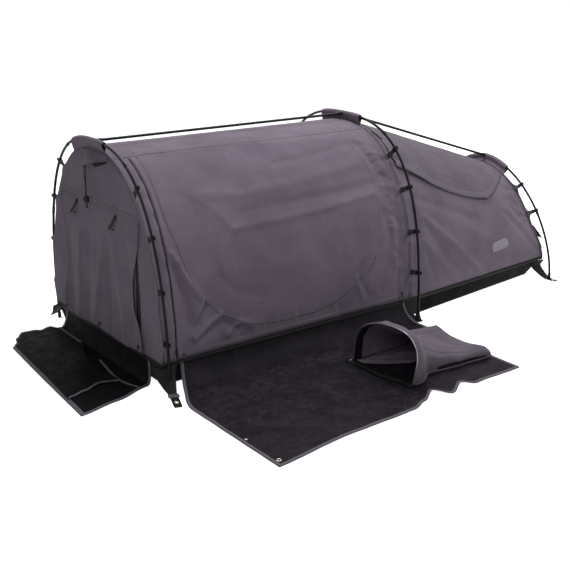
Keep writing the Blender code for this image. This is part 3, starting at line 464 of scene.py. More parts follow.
@dataclass(frozen=True)
class WovenCanvas:
    """Ripstop polycotton canvas, plain woven and proofed.

    The eye sees a dry matt cloth with a little sheen at a low angle, thin slubs along both
    threads and slow changes of shade where the proofing lies thicker.
    """

    name: str
    colour: str
    shade: str
    thread: float = 2.6 * MM  # real threads are 0.5 mm apart, drawn coarser so that they show
    slub: float = 5.0 * MM
    slub_run: float = 160 * MM
    slub_share: float = 0.25
    slub_rise: float = 0.8
    cloud: float = 140 * MM
    stops: tuple[float, float] = (0.58, 0.90)
    dip: tuple[float, float] = (0.87, 1.04)
    depth: float = 0.22 * MM
    strength: float = 0.7
    roughness: float = 0.78
    specular: float = 0.3
    sheen: float = 0.12
    sheen_roughness: float = 0.45

    def build(self) -> bpy.types.Material:
        """Makes the material.

        Returns:
            The material.
        """
        made = Shading(self.name, self.roughness)
        weave = made.woven(made.cloth, self.thread,
                           more={"Distortion": 0.35, "Detail": 1.0, "Detail Scale": 0.6})
        long, short = 1 / self.slub_run, 1 / self.slub
        slub = made.reckon("ADD", *[made.clouds(made.stretched(made.cloth, scale), 1.0, 2.0)
                                  for scale in ((long, short, 1.0), (short, long, 1.0))])
        cloud = made.clouds(made.body, self.cloud, 3.0)
        proofing = made.ramp(made.reckon("MULTIPLY_ADD", slub, self.slub_share, cloud),
                             (self.stops[0], self.shade), (self.stops[1], self.colour))
        height = made.reckon("MULTIPLY_ADD", slub, self.slub_rise, weave)
        made.put({
            "Base Color": made.mix(1.0, proofing, made.span(weave, *self.dip), "MULTIPLY"),
            "Normal": made.bump(height, self.strength, self.depth),
            "Sheen Weight": self.sheen, "Sheen Roughness": self.sheen_roughness,
            "Specular IOR Level": self.specular})
        return made.material


@dataclass(frozen=True)
class CoatedCloth:
    """Black polyester with a PVC coat, as used for tubs and ground mats.

    The eye sees a low satin black with a fine embossed thread, dusty clouds, pale scuffs and
    soft crinkles from folding.
    """

    name: str
    colour: str
    dust: str
    thread: float = 3.2 * MM  # embossed threads are 1 mm apart, drawn coarser so that they show
    depth: float = 0.30 * MM
    strength: float = 0.55
    cloud: float = 90 * MM
    scuff: float = 26 * MM
    stops: tuple[float, float] = (0.16, 0.42)
    roughness: tuple[float, float] = (0.46, 0.68)
    rub: tuple[float, float] = (0.3, 0.7)
    crinkle: float = 140 * MM
    crinkle_depth: float = 4.0 * MM
    crinkle_strength: float = 0.8
    crinkle_turn: float = 0.6
    crinkle_stretch: tuple[float, float, float] = (1.0, 3.2, 1.0)
    sheen: float = 1.22  # refractive index of the coat

    def build(self) -> bpy.types.Material:
        """Makes the material.

        Returns:
            The material.
        """
        made = Shading(self.name, self.roughness[1], index=self.sheen)
        cloud = made.clouds(made.body, self.cloud, 4.0, Roughness=0.6)
        scuff = made.clouds(made.body, self.scuff, 6.0, Distortion=1.2)
        skewed = made.stretched(made.body, self.crinkle_stretch, self.crinkle_turn)
        crinkle = made.clouds(skewed, self.crinkle, 3.0, Distortion=0.8)
        thread = made.bump(made.woven(made.cloth, self.thread), self.strength, self.depth)
        made.put({
            "Base Color": made.ramp(made.reckon("MULTIPLY", cloud, scuff),
                                    (self.stops[0], self.colour), (self.stops[1], self.dust)),
            "Roughness": made.span(scuff, *self.roughness, *self.rub),
            "Normal": made.bump(crinkle, self.crinkle_strength, self.crinkle_depth,
                                Normal=thread)})
        return made.material


@dataclass(frozen=True)
class WovenTape:
    """Woven polyester binding or webbing, flat and close.

    The eye sees a ribbed tape a shade glossier than canvas, with a row of stitches near each
    edge where it is sewn down.
    """

    name: str
    colour: str
    thread_colour: str
    width: float = 12 * MM
    rib: float = 2.4 * MM  # ribs are 1.2 mm apart, drawn coarser so that they show
    rib_shades: tuple[float, float] = (0.8, 1.05)
    stitch: float = 7.0 * MM  # stitches are 3 mm long, drawn longer so that they show
    stitch_share: float = 0.68
    stitch_line: float = 1.3 * MM
    stitch_in: float = 3.0 * MM
    stitch_dip: float = -1.6
    depth: float = 0.25 * MM
    strength: float = 0.8
    roughness: float = 0.62
    stitched: bool = True

    def build(self) -> bpy.types.Material:
        """Makes the material.

        Returns:
            The material.
        """
        made = Shading(self.name, self.roughness)
        rib = made.bands(made.cloth, self.rib, "X", {"Distortion": 0.4})
        tint = made.mix(1.0, linear(self.colour), made.span(rib, *self.rib_shades), "MULTIPLY")
        height = rib
        if self.stitched:
            stitch = self.stitches(made)
            tint = made.mix(stitch, tint, linear(self.thread_colour))
            height = made.reckon("MULTIPLY_ADD", stitch, self.stitch_dip, rib)
        made.put({"Base Color": tint, "Normal": made.bump(height, self.strength, self.depth)})
        return made.material

    def stitches(self, made: Shading) -> bpy.types.NodeSocket:
        """One on the stitches of a row near each edge, and nothing elsewhere.

        Args:
            made: The material in the making.

        Returns:
            The stitches' socket.
        """
        run, across, _ = add_node(made.tree, "SeparateXYZ", {0: made.cloth}).outputs
        middle = self.width / 2
        away = made.reckon("ABSOLUTE", made.reckon("SUBTRACT", across, middle))
        line = made.reckon("COMPARE", away, middle - self.stitch_in, self.stitch_line)
        dash = made.reckon("LESS_THAN", made.reckon("MODULO", run, self.stitch),
                         self.stitch * self.stitch_share)
        return made.reckon("MULTIPLY", line, dash)


@dataclass(frozen=True)
class Netting:
    """Black polyester insect netting.

    The eye sees a dark veil: fine round holes between threads, with what is behind it dimmed.
    """

    name: str
    colour: str
    hole: str = "0c0b0d"
    mesh: float = 4.0 * MM  # holes are 1 mm across, drawn larger so that they show
    uneven: float = 0.15
    cover: float = 0.42
    veil: float = 0.62
    roughness: float = 0.7

    def build(self) -> bpy.types.Material:
        """Makes the material.

        Returns:
            The material.
        """
        made = Shading(self.name, self.roughness)
        cells = add_node(made.tree, "TexVoronoi", {
            "Vector": made.cloth, "Scale": 1 / self.mesh, "Randomness": self.uneven})
        thread = made.reckon("GREATER_THAN", cells.outputs["Distance"], self.cover)
        made.put({"Base Color": made.mix(thread, linear(self.hole), linear(self.colour)),
                  "Alpha": made.span(thread, self.veil, 1.0)})
        return made.material


@dataclass(frozen=True)
class CoatedAlloy:
    """Aluminium tent pole with a baked black coat, or a bare steel wire.

    The eye sees a satin black tube with a thin bright line of light and faint rub marks.
    """

    name: str
    colour: str
    rub: str
    stops: tuple[float, float] = (0.55, 0.8)
    mark: float = 14 * MM
    detail: float = 5.0
    uneven: float = 0.7
    metallic: float = 0.1
    roughness: float = 0.34
    rubbing: tuple[float, float] = (-0.08, 0.16)

    def build(self) -> bpy.types.Material:
        """Makes the material.

        Returns:
            The material.
        """
        made = Shading(self.name, self.roughness, self.metallic)
        marks = made.clouds(made.body, self.mark, self.detail, Roughness=self.uneven)
        made.put({
            "Base Color": made.ramp(marks, (self.stops[0], self.colour), (self.stops[1], self.rub)),
            "Roughness": made.span(marks, *[self.roughness + change for change in self.rubbing])})
        return made.material


@dataclass(frozen=True)
class PlatedBrass(CoatedAlloy):
    """Nickel plated brass of eyelets and rivets.

    The eye sees a bright warm grey metal, dulled in its hollows.
    """

    stops: tuple[float, float] = (0.35, 0.6)
    mark: float = 5 * MM
    detail: float = 4.0
    uneven: float = 0.5
    metallic: float = 1.0
    roughness: float = 0.28
    rubbing: tuple[float, float] = (0.2, -0.05)


@dataclass(frozen=True)
class MouldedPlastic:
    """Moulded acetal or nylon of clips, toggles and the cord lock.

    The eye sees a hard black with a soft grain that breaks up its highlight.
    """

    name: str
    colour: str
    worn: str
    roughness: float = 0.42
    grain: float = 0.9 * MM
    wear: float = 12.6 * MM
    stops: tuple[float, float] = (0.5, 0.85)
    depth: float = 0.10 * MM
    strength: float = 0.35

    def build(self) -> bpy.types.Material:
        """Makes the material.

        Returns:
            The material.
        """
        made = Shading(self.name, self.roughness)
        grain = made.clouds(made.body, self.grain, 2.0)
        made.put({
            "Base Color": made.ramp(made.clouds(made.body, self.wear, 3.0),
                                    (self.stops[0], self.colour), (self.stops[1], self.worn)),
            "Normal": made.bump(grain, self.strength, self.depth)})
        return made.material


@dataclass(frozen=True)
class ZipCoil:
    """Nylon coil zip chain.

    The eye sees a row of small glossy teeth, with painted shade in the groove between them.
    """

    name: str
    colour: str
    # colour between the teeth or strands: painted shade in the grooves
    groove: str
    pitch: float = 3.0 * MM  # teeth are 1.2 mm apart, drawn coarser so that they show
    roughness: float = 0.38
    depth: float = 0.5 * MM
    strength: float = 0.9

    def strands(self, made: Shading) -> bpy.types.NodeSocket:
        """Height of the teeth."""
        return made.bands(made.cloth, self.pitch, "X")

    def build(self) -> bpy.types.Material:
        """Makes the material.

        Returns:
            The material.
        """
        made = Shading(self.name, self.roughness)
        strand = self.strands(made)
        made.put({"Base Color": made.mix(strand, linear(self.groove), linear(self.colour)),
                  "Normal": made.bump(strand, self.strength, self.depth)})
        return made.material


@dataclass(frozen=True)
class BraidedCord(ZipCoil):
    """Braided polyester drawcord.

    The eye sees a matt black cord whose strands cross in small diamonds, with painted shade between
    the strands.
    """

    pitch: float = 1.6 * MM
    roughness: float = 0.75
    depth: float = 0.25 * MM
    strength: float = 0.8

    def strands(self, made: Shading) -> bpy.types.NodeSocket:
        """Height of the crossed strands."""
        return made.woven(made.body, self.pitch, ("DIAGONAL", "Z"))


@dataclass(frozen=True)
class PaleFloor:
    """Seamless white paper sweep of the studio.

    The eye sees an even white that keeps a soft shadow under the swag.
    """

    name: str = "studio_paper"
    colour: str = "f4f4f5"
    glow: float = 0.92
    roughness: float = 0.95
    specular: float = 0.1

    def build(self) -> bpy.types.Material:
        """Makes the material.

        Returns:
            The material.
        """
        made = Shading(self.name, self.roughness)
        made.put({"Base Color": linear(self.colour), "Specular IOR Level": self.specular})
        strength = made.reckon("MULTIPLY", seen_plainly(made.tree), self.glow)
        glow = add_node(made.tree, "Emission", {"Color": (1.0, 1.0, 1.0, 1.0),
                                                "Strength": strength})
        both = add_node(made.tree, "AddShader", {0: made.shader.outputs[0], 1: glow.outputs[0]})
        feed(made.tree, made.tree.nodes["Material Output"].inputs["Surface"], both.outputs[0])
        return made.material


CANVAS = WovenCanvas("canvas_slate", "7b707e", "6f6472").build()
CANVAS_HEM = WovenCanvas("canvas_hem", "7e7381", "726775").build()
# Same canvas in darker tones: painted shade on the roof flaps and the boot hood.
CANVAS_PAINTED_SHADE = WovenCanvas("canvas_slate_deep", "6c636f", "625964").build()
LINING = CoatedCloth("canvas_lining_proofed", "2c292d", "3a363b").build()
# Lining in far paler tones than the other lining: painted light inside the boot hood, where little
# lamp light reaches.
BOOT_LINING_PAINTED_LIGHT = CoatedCloth("boot_lining_proofed", "6e6570", "7d737f").build()
VINYL = CoatedCloth("tub_vinyl_black", "08070a", "100e11", sheen=1.08).build()
MAT_CLOTH = CoatedCloth("mat_vinyl_black", "151217", "2d282f", sheen=1.15).build()
# Same mat vinyl in a deeper black: painted shade on the head mat and its pocket.
HEAD_MAT_CLOTH_PAINTED_SHADE = CoatedCloth("head_mat_vinyl_black", "070608", "100f11", sheen=1.10).build()
BINDING = WovenTape("binding_tape_grey", "625b64", "7b747d", width=24 * MM).build()
# Seam tape a shade darker than the canvas: painted shade along the seam lines.
SEAM_TAPE_PAINTED_SHADE = WovenTape("felled_seam_canvas", "6a606d", "574f5a").build()
HEM_TAPE = WovenTape("flap_hem_canvas", "6c636f", "5a525d", width=34 * MM, rib=2.6 * MM).build()
WEBBING = WovenTape("webbing_black", "060506", "0e0d0f", rib=3.6 * MM, stitched=False).build()
TAB_TAPE = WovenTape("clip_tab_webbing", "4d464f", "5f5761", stitched=False).build()
ZIP_TAPE = WovenTape("zip_tape_black", "141316", "2a282c", stitched=False).build()
COIL = ZipCoil("zip_coil_nylon", "26252a", "060607").build()
NET = Netting("insect_netting_black", "0f0e10").build()
POLE = CoatedAlloy("pole_alloy_black", "0a090b", "181618").build()
WIRE = CoatedAlloy("boot_wire_steel", "8a868c", "b0acb2", metallic=0.9, roughness=0.3).build()
PLASTIC = MouldedPlastic("clip_acetal_black", "121214", "2c2b2f").build()
TAB_PLASTIC = MouldedPlastic("ladder_lock_nylon", "6f6a73", "8a858e", roughness=0.5).build()
RUBBER = MouldedPlastic("pole_tip_rubber", "17161a", "29282c", roughness=0.75).build()
METAL = PlatedBrass("eyelet_nickel", "7d7973", "c9c4bd").build()
BRAID = BraidedCord("drawcord_braid", "1c1b1e", "09090a").build()
COVER = WovenCanvas("mattress_cover", "8f8f94", "808086", sheen=0.1).build()
PATCH = MouldedPlastic("bare_patch_rubber", "8f8a92", "a39ea6", roughness=0.6).build()
FLOOR = PaleFloor().build()


def add_uv(mesh: bpy.types.Mesh, places: Sequence[Place]) -> None:
    """Writes a UV map in metres from a place for each vertex.

    Args:
        mesh: The mesh.
        places: Place on the flat cloth of each vertex.
    """
    layer = mesh.uv_layers.new(name=CLOTH_UV)
    for loop in mesh.loops:
        layer.data[loop.index].uv = places[loop.vertex_index]


def link(name: str, data: object, finish: bpy.types.Material) -> bpy.types.Object:
    """Object in the scene for a mesh or curve, with its material.

    Args:
        name: The object's name.
        data: Its mesh or curve.
        finish: Its material.

    Returns:
        The new object.
    """
    made = bpy.data.objects.new(name, data)
    bpy.context.scene.collection.objects.link(made)
    data.materials.append(finish)
    return made


def grid_places(rows: Rows) -> list[Place]:
    """Runs in metres along both ways of a grid of points.

    Args:
        rows: The grid's points.

    Returns:
        Both runs of each point, row by row.
    """
    along = [[0.0] * len(rows[0]) for _ in rows]
    across = [[0.0] * len(rows[0]) for _ in rows]
    for i, row in enumerate(rows):
        for j, point in enumerate(row):
            if i:
                along[i][j] = along[i - 1][j] + (point - rows[i - 1][j]).length
            if j:
                across[i][j] = across[i][j - 1] + (point - row[j - 1]).length
    return [(along[i][j], across[i][j]) for i in range(len(rows)) for j in range(len(rows[0]))]


def cloth(name: str, rows: Rows, finish: bpy.types.Material, thick: float = 1.2 * MM,
          skipped: Optional[Callable[[int, int], bool]] = None, closed: bool = False,
          turned: bool = False, inside: Optional[bpy.types.Material] = None,
          middle: bool = False) -> bpy.types.Object:
    """Sheet of cloth from rows of points on its outer face.

    Args:
        name: The piece's name.
        rows: Points of the outer face.
        finish: Material of the outer face.
        thick: Thickness, laid inwards.
        skipped: Tells which cells are left open.
        closed: Whether each row joins up with its own start.
        turned: Whether the outer face is the other one.
        inside: Material of the inner face.
        middle: Whether the thickness lies on both sides of the points.

    Returns:
        The new object.
    """
    count = len(rows[0])
    faces = []
    for i in range(len(rows) - 1):
        for j in range(count if closed else count - 1):
            if skipped and skipped(i, j):
                continue
            low, high = i * count, (i + 1) * count
            after = (j + 1) % count
            face = (low + j, high + j, high + after, low + after)
            faces.append(tuple(reversed(face)) if turned else face)
    mesh = bpy.data.meshes.new(name)
    mesh.from_pydata([tuple(point) for row in rows for point in row], [], faces)
    add_uv(mesh, grid_places(rows))
    mesh.polygons.foreach_set("use_smooth", [True] * len(mesh.polygons))
    if skipped:
        model = bmesh.new()
        model.from_mesh(mesh)
        loose = [vert for vert in model.verts if not vert.link_faces]
        bmesh.ops.delete(model, geom=loose, context="VERTS")
        model.to_mesh(mesh)
        model.free()
    made = link(name, mesh, finish)
    if thick:
        solid = made.modifiers.new("Thickness", "SOLIDIFY")
        solid.thickness = thick
        solid.offset = 0 if middle else -1
        solid.use_even_offset = True
        if inside:
            mesh.materials.append(inside)
            solid.material_offset = 1
            solid.material_offset_rim = 0
    return made


def ribbon(name: str, surface: Surface, path: Sequence[Place],
           width: float | Callable[[float], float], finish: bpy.types.Material,
           lift: float = 0.6 * MM, crown: float = 0.5 * MM, columns: int = 4,
           shift: float = 0.0) -> bpy.types.Object:
    """Strip of cloth that hugs a surface along a path.

    Args:
        name: The piece's name.
        surface: What the strip lies on.
        path: Places along the strip's middle.
        width: Width in metres, or a function of the share along the path.
        finish: The strip's material.
        lift: Height of its edges off the surface.
        crown: How much higher its middle is.
        columns: Faces across it.
        shift: How far the strip is moved to the side of the path.

    Returns:
        The new object.
    """
    rows = []
    last = len(path) - 1
    for index, (u, v) in enumerate(path):
        before = surface.at(*path[max(index - 1, 0)])
        after = surface.at(*path[min(index + 1, last)])
        out = surface.normal(u, v)
        side = out.cross(after - before).normalized()
        span = width(index / last) if callable(width) else width
        row = []
        for share in spread(-0.5, 0.5, columns):
            place = surface.moved(u, v, side, shift + span * share)
            row.append(surface.at(*place, lift + crown * (1 - 4 * share * share)))
        rows.append(row)
    return cloth(name, rows, finish, thick=max(lift, 0.5 * MM))


def binding(name: str, surface: Surface, path: Sequence[Place], inward: Vector, width: float,
            under: float, thick: float = 1.3 * MM) -> bpy.types.Object:
    """Tape folded over an edge of a surface.

    Args:
        name: The piece's name.
        surface: The cloth whose edge is bound.
        path: Places along the edge.
        inward: Direction into the cloth.
        width: How far the tape reaches over the cloth.
        under: Thickness of the cloth it goes round.
        thick: The tape's thickness.

    Returns:
        The new object.
    """
    rows = []
    for u, v in path:
        out = surface.normal(u, v)
        way = (inward - out * inward.dot(out)).normalized()
        inner = surface.moved(u, v, way, width)
        half = surface.moved(u, v, way, width / 2)
        edge = surface.at(u, v)
        rows.append([
            surface.at(*inner, thick * 0.5),
            surface.at(*half, thick),
            edge + out * thick * 0.8 - way * thick,
            edge - way * thick * 1.5 - out * under / 2,
            edge - out * (under + thick * 0.8) - way * thick,
            surface.at(*half, -under - thick),
            surface.at(*inner, -under - thick * 0.5),
        ])
    along = surface.at(*path[1]) - surface.at(*path[0])
    facing = along.cross(-inward).dot(surface.normal(*path[0]))
    return cloth(name, rows, BINDING, thick=0.0, turned=facing < 0)


def tube(name: str, points: Sequence[Vector], radius: float, finish: bpy.types.Material,
         steps: int = 4, radii: Optional[Sequence[float]] = None) -> bpy.types.Object:
    """Round rod, wire or cord along points.

    Args:
        name: The piece's name.
        points: Its middle line.
        radius: Its radius.
        finish: Its material.
        steps: Fineness of its round.
        radii: Share of the radius at each point.

    Returns:
        The new object.
    """
    curve = bpy.data.curves.new(name, "CURVE")
    curve.dimensions = "3D"
    curve.bevel_depth = radius
    curve.bevel_resolution = steps
    curve.use_fill_caps = True
    spline = curve.splines.new("POLY")
    spline.points.add(len(points) - 1)
    for index, (target, point) in enumerate(zip(spline.points, points)):
        target.co = (*point, 1.0)
        target.radius = radii[index] if radii else 1.0
    spline.use_smooth = True
    return link(name, curve, finish)


def turned_piece(name: str, profile: Sequence[Place], centre: Vector, axis: Vector,
                 finish: bpy.types.Material, sides: int = 24, closed: bool = False
                 ) -> bpy.types.Object:
    """Round piece from a profile of (radius, height) pairs about an axis.

    Args:
        name: The piece's name.
        profile: Radius and height of each ring.
        centre: Where height nought is.
        axis: Direction of the height.
        finish: The piece's material.
        sides: Points round each ring.
        closed: Whether the profile joins up with its own start, as in a ring.

    Returns:
        The new object.
    """
    turn = axis.normalized().to_track_quat("Z", "X").to_matrix()
    loop = [*profile, profile[0]] if closed else list(profile)
    rows = []
    angles = [2 * math.pi * index / sides for index in range(sides)]
    for radius, height in loop:
        rows.append([centre + turn @ Vector((x, y, height)) for x, y in circle(radius, angles)])
    made = cloth(name, rows, finish, thick=0.0, closed=True, turned=True)
    model = bmesh.new()
    model.from_mesh(made.data)
    bmesh.ops.remove_doubles(model, verts=model.verts, dist=0.01 * MM)
    bmesh.ops.recalc_face_normals(model, faces=model.faces)
    model.to_mesh(made.data)
    model.free()
    return made


def plate(name: str, outline: Sequence[Place], thick: float, finish: bpy.types.Material,
          axes: tuple[Vector, Vector, Vector], centre: Vector, edge: float = 0.5 * MM
          ) -> bpy.types.Object:
    """Flat piece with rounded edges.

    Args:
        name: The piece's name.
        outline: Points of its outline in its own plane.
        thick: Its thickness.
        finish: Its material.
        axes: Directions of its width, height and thickness.
        centre: Middle of its thickness at the outline's origin.
        edge: Radius of its edges.

    Returns:
        The new object.
    """
    model = bmesh.new()
    verts = [model.verts.new((x, y, -thick / 2)) for x, y in outline]
    face = model.faces.new(verts)
    raised = bmesh.ops.extrude_face_region(model, geom=[face])
    top = [item for item in raised["geom"] if isinstance(item, bmesh.types.BMVert)]
    bmesh.ops.translate(model, verts=top, vec=(0.0, 0.0, thick))
    bmesh.ops.recalc_face_normals(model, faces=model.faces)
    mesh = bpy.data.meshes.new(name)
    model.to_mesh(mesh)
    model.free()
    add_uv(mesh, [(vert.co.x, vert.co.y) for vert in mesh.vertices])
    turn = Matrix(axes).transposed().to_4x4()
    turn.translation = centre
    mesh.transform(turn)
    made = link(name, mesh, finish)
    bevel = made.modifiers.new("Edges", "BEVEL")
    bevel.width = edge
    bevel.segments = 2
    bevel.limit_method = "ANGLE"
    return made


def rounded_box(width: float, height: float, corner: float, steps: int = 4) -> list[Place]:
    """Outline of a rectangle with round corners about its own middle.

    Args:
        width: Its width.
        height: Its height.
        corner: Radius of its corners.
        steps: Stretches of each corner.

    Returns:
        Places of the outline.
    """
    made = []
    for quarter, (x, y) in enumerate(((1, 1), (-1, 1), (-1, -1), (1, -1))):
        for turn in spread(math.pi / 2 * quarter, math.pi / 2 * (quarter + 1), steps):
            made.append((x * (width / 2 - corner) + corner * math.cos(turn),
                         y * (height / 2 - corner) + corner * math.sin(turn)))
    return made


def ride(piece: bpy.types.Object, body: Body, *nodes: str) -> bpy.types.Object:
    """Puts a piece on a body, in place of CAD nodes if any are named.

    Args:
        piece: The piece.
        body: What it moves with.
        *nodes: CAD nodes that it stands for.

    Returns:
        The same piece.
    """
    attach(piece, body.value)
    if nodes:
        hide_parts(*nodes)
    LOG.info("%s rides on %s", piece.name, body.value)
    return piece


def sheet(name: str, rows: Rows, finish: bpy.types.Material, body: Body, node: str, held: str,
          rests_on: Sequence[str], thick: float = CANVAS_THICK, **more: object
          ) -> bpy.types.Object:
    """Cloth piece on a body, in place of a CAD node if one is named.

    Args:
        name: The piece's name.
        rows: Points of its outer face.
        finish: Material of the outer face.
        body: What it rides on.
        node: CAD node that it stands for, or an empty name.
        held: How it is held; not used.
        rests_on: What it hangs from or lies on; not used.
        thick: Its thickness.
        **more: What else the cloth takes.

    Returns:
        The new object.
    """
    made = ride(cloth(name, rows, finish, thick, **more), body, *([node] if node else []))
    return made


def eyelet(name: str, centre: Vector, axis: Vector, hole: float, rim: float,
           finish: bpy.types.Material = METAL) -> bpy.types.Object:
    """Pressed ring round a peg or lace hole.

    Args:
        name: The piece's name.
        centre: Middle of the hole on the cloth's face.
        axis: Outward direction.
        hole: Radius of the hole.
        rim: Radius over the ring.
        finish: The ring's material.

    Returns:
        The new object.
    """
    high = 1.1 * MM
    low = -1.0 * MM
    return turned_piece(name, [
        (hole, low), (hole, high * 0.6), (lerp(hole, rim, 0.3), high), (lerp(hole, rim, 0.7), high),
        (rim, high * 0.3), (rim, low * 0.3), (lerp(hole, rim, 0.5), low)], centre, axis, finish,
        sides=20, closed=True)


@dataclass(frozen=True)
class Station:
    """One cross-section of the canopy; fullness is how square its arch is."""

    x: float
    half_width: float
    crown: float
    fullness: float


@dataclass
class Crease:
    """Fold in a cloth: places along it, its width and how far it stands out, in metres."""

    places: tuple[Place, ...]
    width: float
    out: float
    low: Place = field(init=False)
    high: Place = field(init=False)

    def __post_init__(self) -> None:
        """Finds the box outside which the fold is flat."""
        xs, ys = zip(*self.places)
        reach = self.width * 2.6
        self.low = (min(xs) - reach, min(ys) - reach)
        self.high = (max(xs) + reach, max(ys) + reach)

    def at(self, x: float, y: float) -> float:
        """Height of the fold at a place.

        Args:
            x: First value of the place.
            y: Second value of the place.

        Returns:
            Metres that it stands out.
        """
        if not (self.low[0] < x < self.high[0] and self.low[1] < y < self.high[1]):
            return 0.0
        reach = self.width * 2.6
        nearest = reach
        for (ax, ay), (bx, by) in zip(self.places, self.places[1:]):
            run_x, run_y = bx - ax, by - ay
            size = run_x * run_x + run_y * run_y
            share = min(max(((x - ax) * run_x + (y - ay) * run_y) / size, 0.0), 1.0)
            away = math.hypot(ax + run_x * share - x, ay + run_y * share - y)
            nearest = min(nearest, away)
        return self.out * bell(nearest, self.width) if nearest < reach else 0.0


def arch(half_width: float, height: float, fullness: float, angle: float) -> Place:
    """Point of a squared arch, from its -Y foot at angle nought to its +Y foot at pi.

    Args:
        half_width: Half of its span.
        height: Its height.
        fullness: How square it is; two is round.
        angle: The angle asked for.

    Returns:
        Places across and up.
    """
    across, upright = math.cos(angle), math.sin(angle)
    y = -half_width * math.copysign(abs(across) ** (2 / fullness), across)
    return y, height * abs(upright) ** (2 / fullness)


@dataclass
class CanopyShape:
    """Shape of the canvas over the three hoops, with its folds."""

    head: Station = Station(-1.080, 0.440, 0.826, 2.20)
    mid: Station = Station(0.157, 0.456, 0.810, 2.25)
    foot: Station = Station(1.080, 0.420, 0.500, 1.60)
    rim: float = 0.092
    foot_rim: float = 0.106
    rim_gap: float = 0.0005
    head_round: float = 0.66
    foot_round: float = 0.44
    tuck: float = 0.022
    creases: list[Crease] = field(default_factory=list)

    def past_mid(self, x: float) -> float:
        """Share of the way from the middle hoop to the foot."""
        return min(max((x - self.mid.x) / (self.foot.x - self.mid.x), 0.0), 1.0)

    def rim_z(self, x: float) -> float:
        """Height of the tub's rim."""
        return lerp(self.rim, self.foot_rim, self.past_mid(x))

    def stations(self, x: float) -> tuple[Station, Station, float]:
        """Stations either side of a place, and the share between them."""
        low, high = (self.head, self.mid) if x <= self.mid.x else (self.mid, self.foot)
        return low, high, (x - low.x) / (high.x - low.x)

    def half_width(self, x: float) -> float:
        """Half width of the canvas at the rim."""
        low, high, share = self.stations(x)
        return lerp(low.half_width, high.half_width, share)

    def plain(self, x: float, angle: float) -> Vector:
        """Point of the canvas without its folds.

        Args:
            x: Place along the swag.
            angle: Section angle.

        Returns:
            The point.
        """
        low, high, share = self.stations(x)
        base = self.rim_z(x) + self.rim_gap
        held = min(max(angle, 0.0), math.pi)
        ends = [arch(end.half_width, end.crown - base, end.fullness, held) for end in (low, high)]
        return Vector((x, lerp(ends[0][0], ends[1][0], share),
                       base + lerp(ends[0][1], ends[1][1], share)))

    def round_at(self, x: float) -> float:
        """Metres of cloth in each radian of the section."""
        return lerp(self.head_round, self.foot_round, self.past_mid(x))

    def angle_at(self, x: float, y: float) -> float:
        """Section angle of a place across the canopy.

        Args:
            x: Place along the swag.
            y: Place across it.

        Returns:
            The section angle.
        """
        low, high, share = self.stations(x)
        fullness = lerp(low.fullness, high.fullness, share)
        quarter = math.acos(min(abs(y) / self.half_width(x), 1.0) ** (fullness / 2))
        return quarter if y < 0 else math.pi - quarter

    def plain_normal(self, x: float, angle: float) -> Vector:
        """Outward direction without the folds.

        Args:
            x: Place along the swag.
            angle: Section angle.

        Returns:
            The direction.
        """
        step = 0.002
        inside = x - step if x > 0 else x + step
        along = (self.plain(x, angle) - self.plain(inside, angle)) * (x - inside)
        low, high = max(angle - step, 0.0), min(angle + step, math.pi)
        return along.cross(self.plain(x, high) - self.plain(x, low)).normalized()

    def relief(self, x: float, angle: float) -> float:
        """How far the canvas stands out from its plain shape.

        Args:
            x: Place along the swag.
            angle: Section angle.

        Returns:
            Metres outwards.
        """
        far = angle > math.pi / 2
        quarter = math.pi - angle if far else angle
        run = quarter * self.round_at(x)
        seed = 7.3 if far else 1.7
        edge = smooth(min(run / 0.05, 1.0))
        out = sum(crease.at(x, run) for crease in self.creases)
        out += 0.0016 * wobble(x, run, 0.16, seed) + 0.0009 * wobble(x * 0.5, run, 0.055, seed + 3)
        out += 0.0006 * wobble(x, run, 0.03, seed + 5)
        out -= self.tuck * smooth((x - 0.80) / 0.26) * bell(quarter - 0.52, 0.30)
        return out * lerp(0.25, 1.0, edge)

    def point(self, x: float, angle: float) -> Vector:
        """Point of the canvas with its folds."""
        return self.plain(x, angle) + self.plain_normal(x, angle) * self.relief(x, angle)

    def crease(self, width: float, out: float, *places: Place) -> None:
        """Adds a fold given as places of x in metres and section angle in degrees."""
        self.creases.append(Crease(tuple(
            (x, math.radians(angle) * self.round_at(x)) for x, angle in places), width, out))


@dataclass(frozen=True)
class Hoop:
    """Bent pole: foot place, lean at the top, half width, height and how square it is."""

    word: str
    foot_x: float
    lean: float
    half_width: float
    height: float
    fullness: float
    clip_shares: tuple[float, ...]
    canvas_x: float
    foot_z: float = 0.0034

    def point(self, angle: float) -> Vector:
        """Point on the pole's centre line."""
        y, z = arch(self.half_width, self.height - self.foot_z, self.fullness, angle)
        return Vector((self.foot_x + self.lean * z / self.height, y, self.foot_z + z))

    def seat(self, share: float) -> tuple[Vector, Vector]:
        """Place and upward direction of the pole at a share of its height.

        Args:
            share: Share of the hoop's height.

        Returns:
            The place and the direction.
        """
        angle = math.asin(share ** (self.fullness / 2))
        step = 0.01
        way = self.point(angle + step) - self.point(angle - step)
        return self.point(angle), way.normalized()

    def angle_of(self, y: float) -> float:
        """Angle at which the pole passes a place across."""
        quarter = math.acos(min(abs(y) / self.half_width, 1.0) ** (self.fullness / 2))
        return quarter if y < 0 else math.pi - quarter


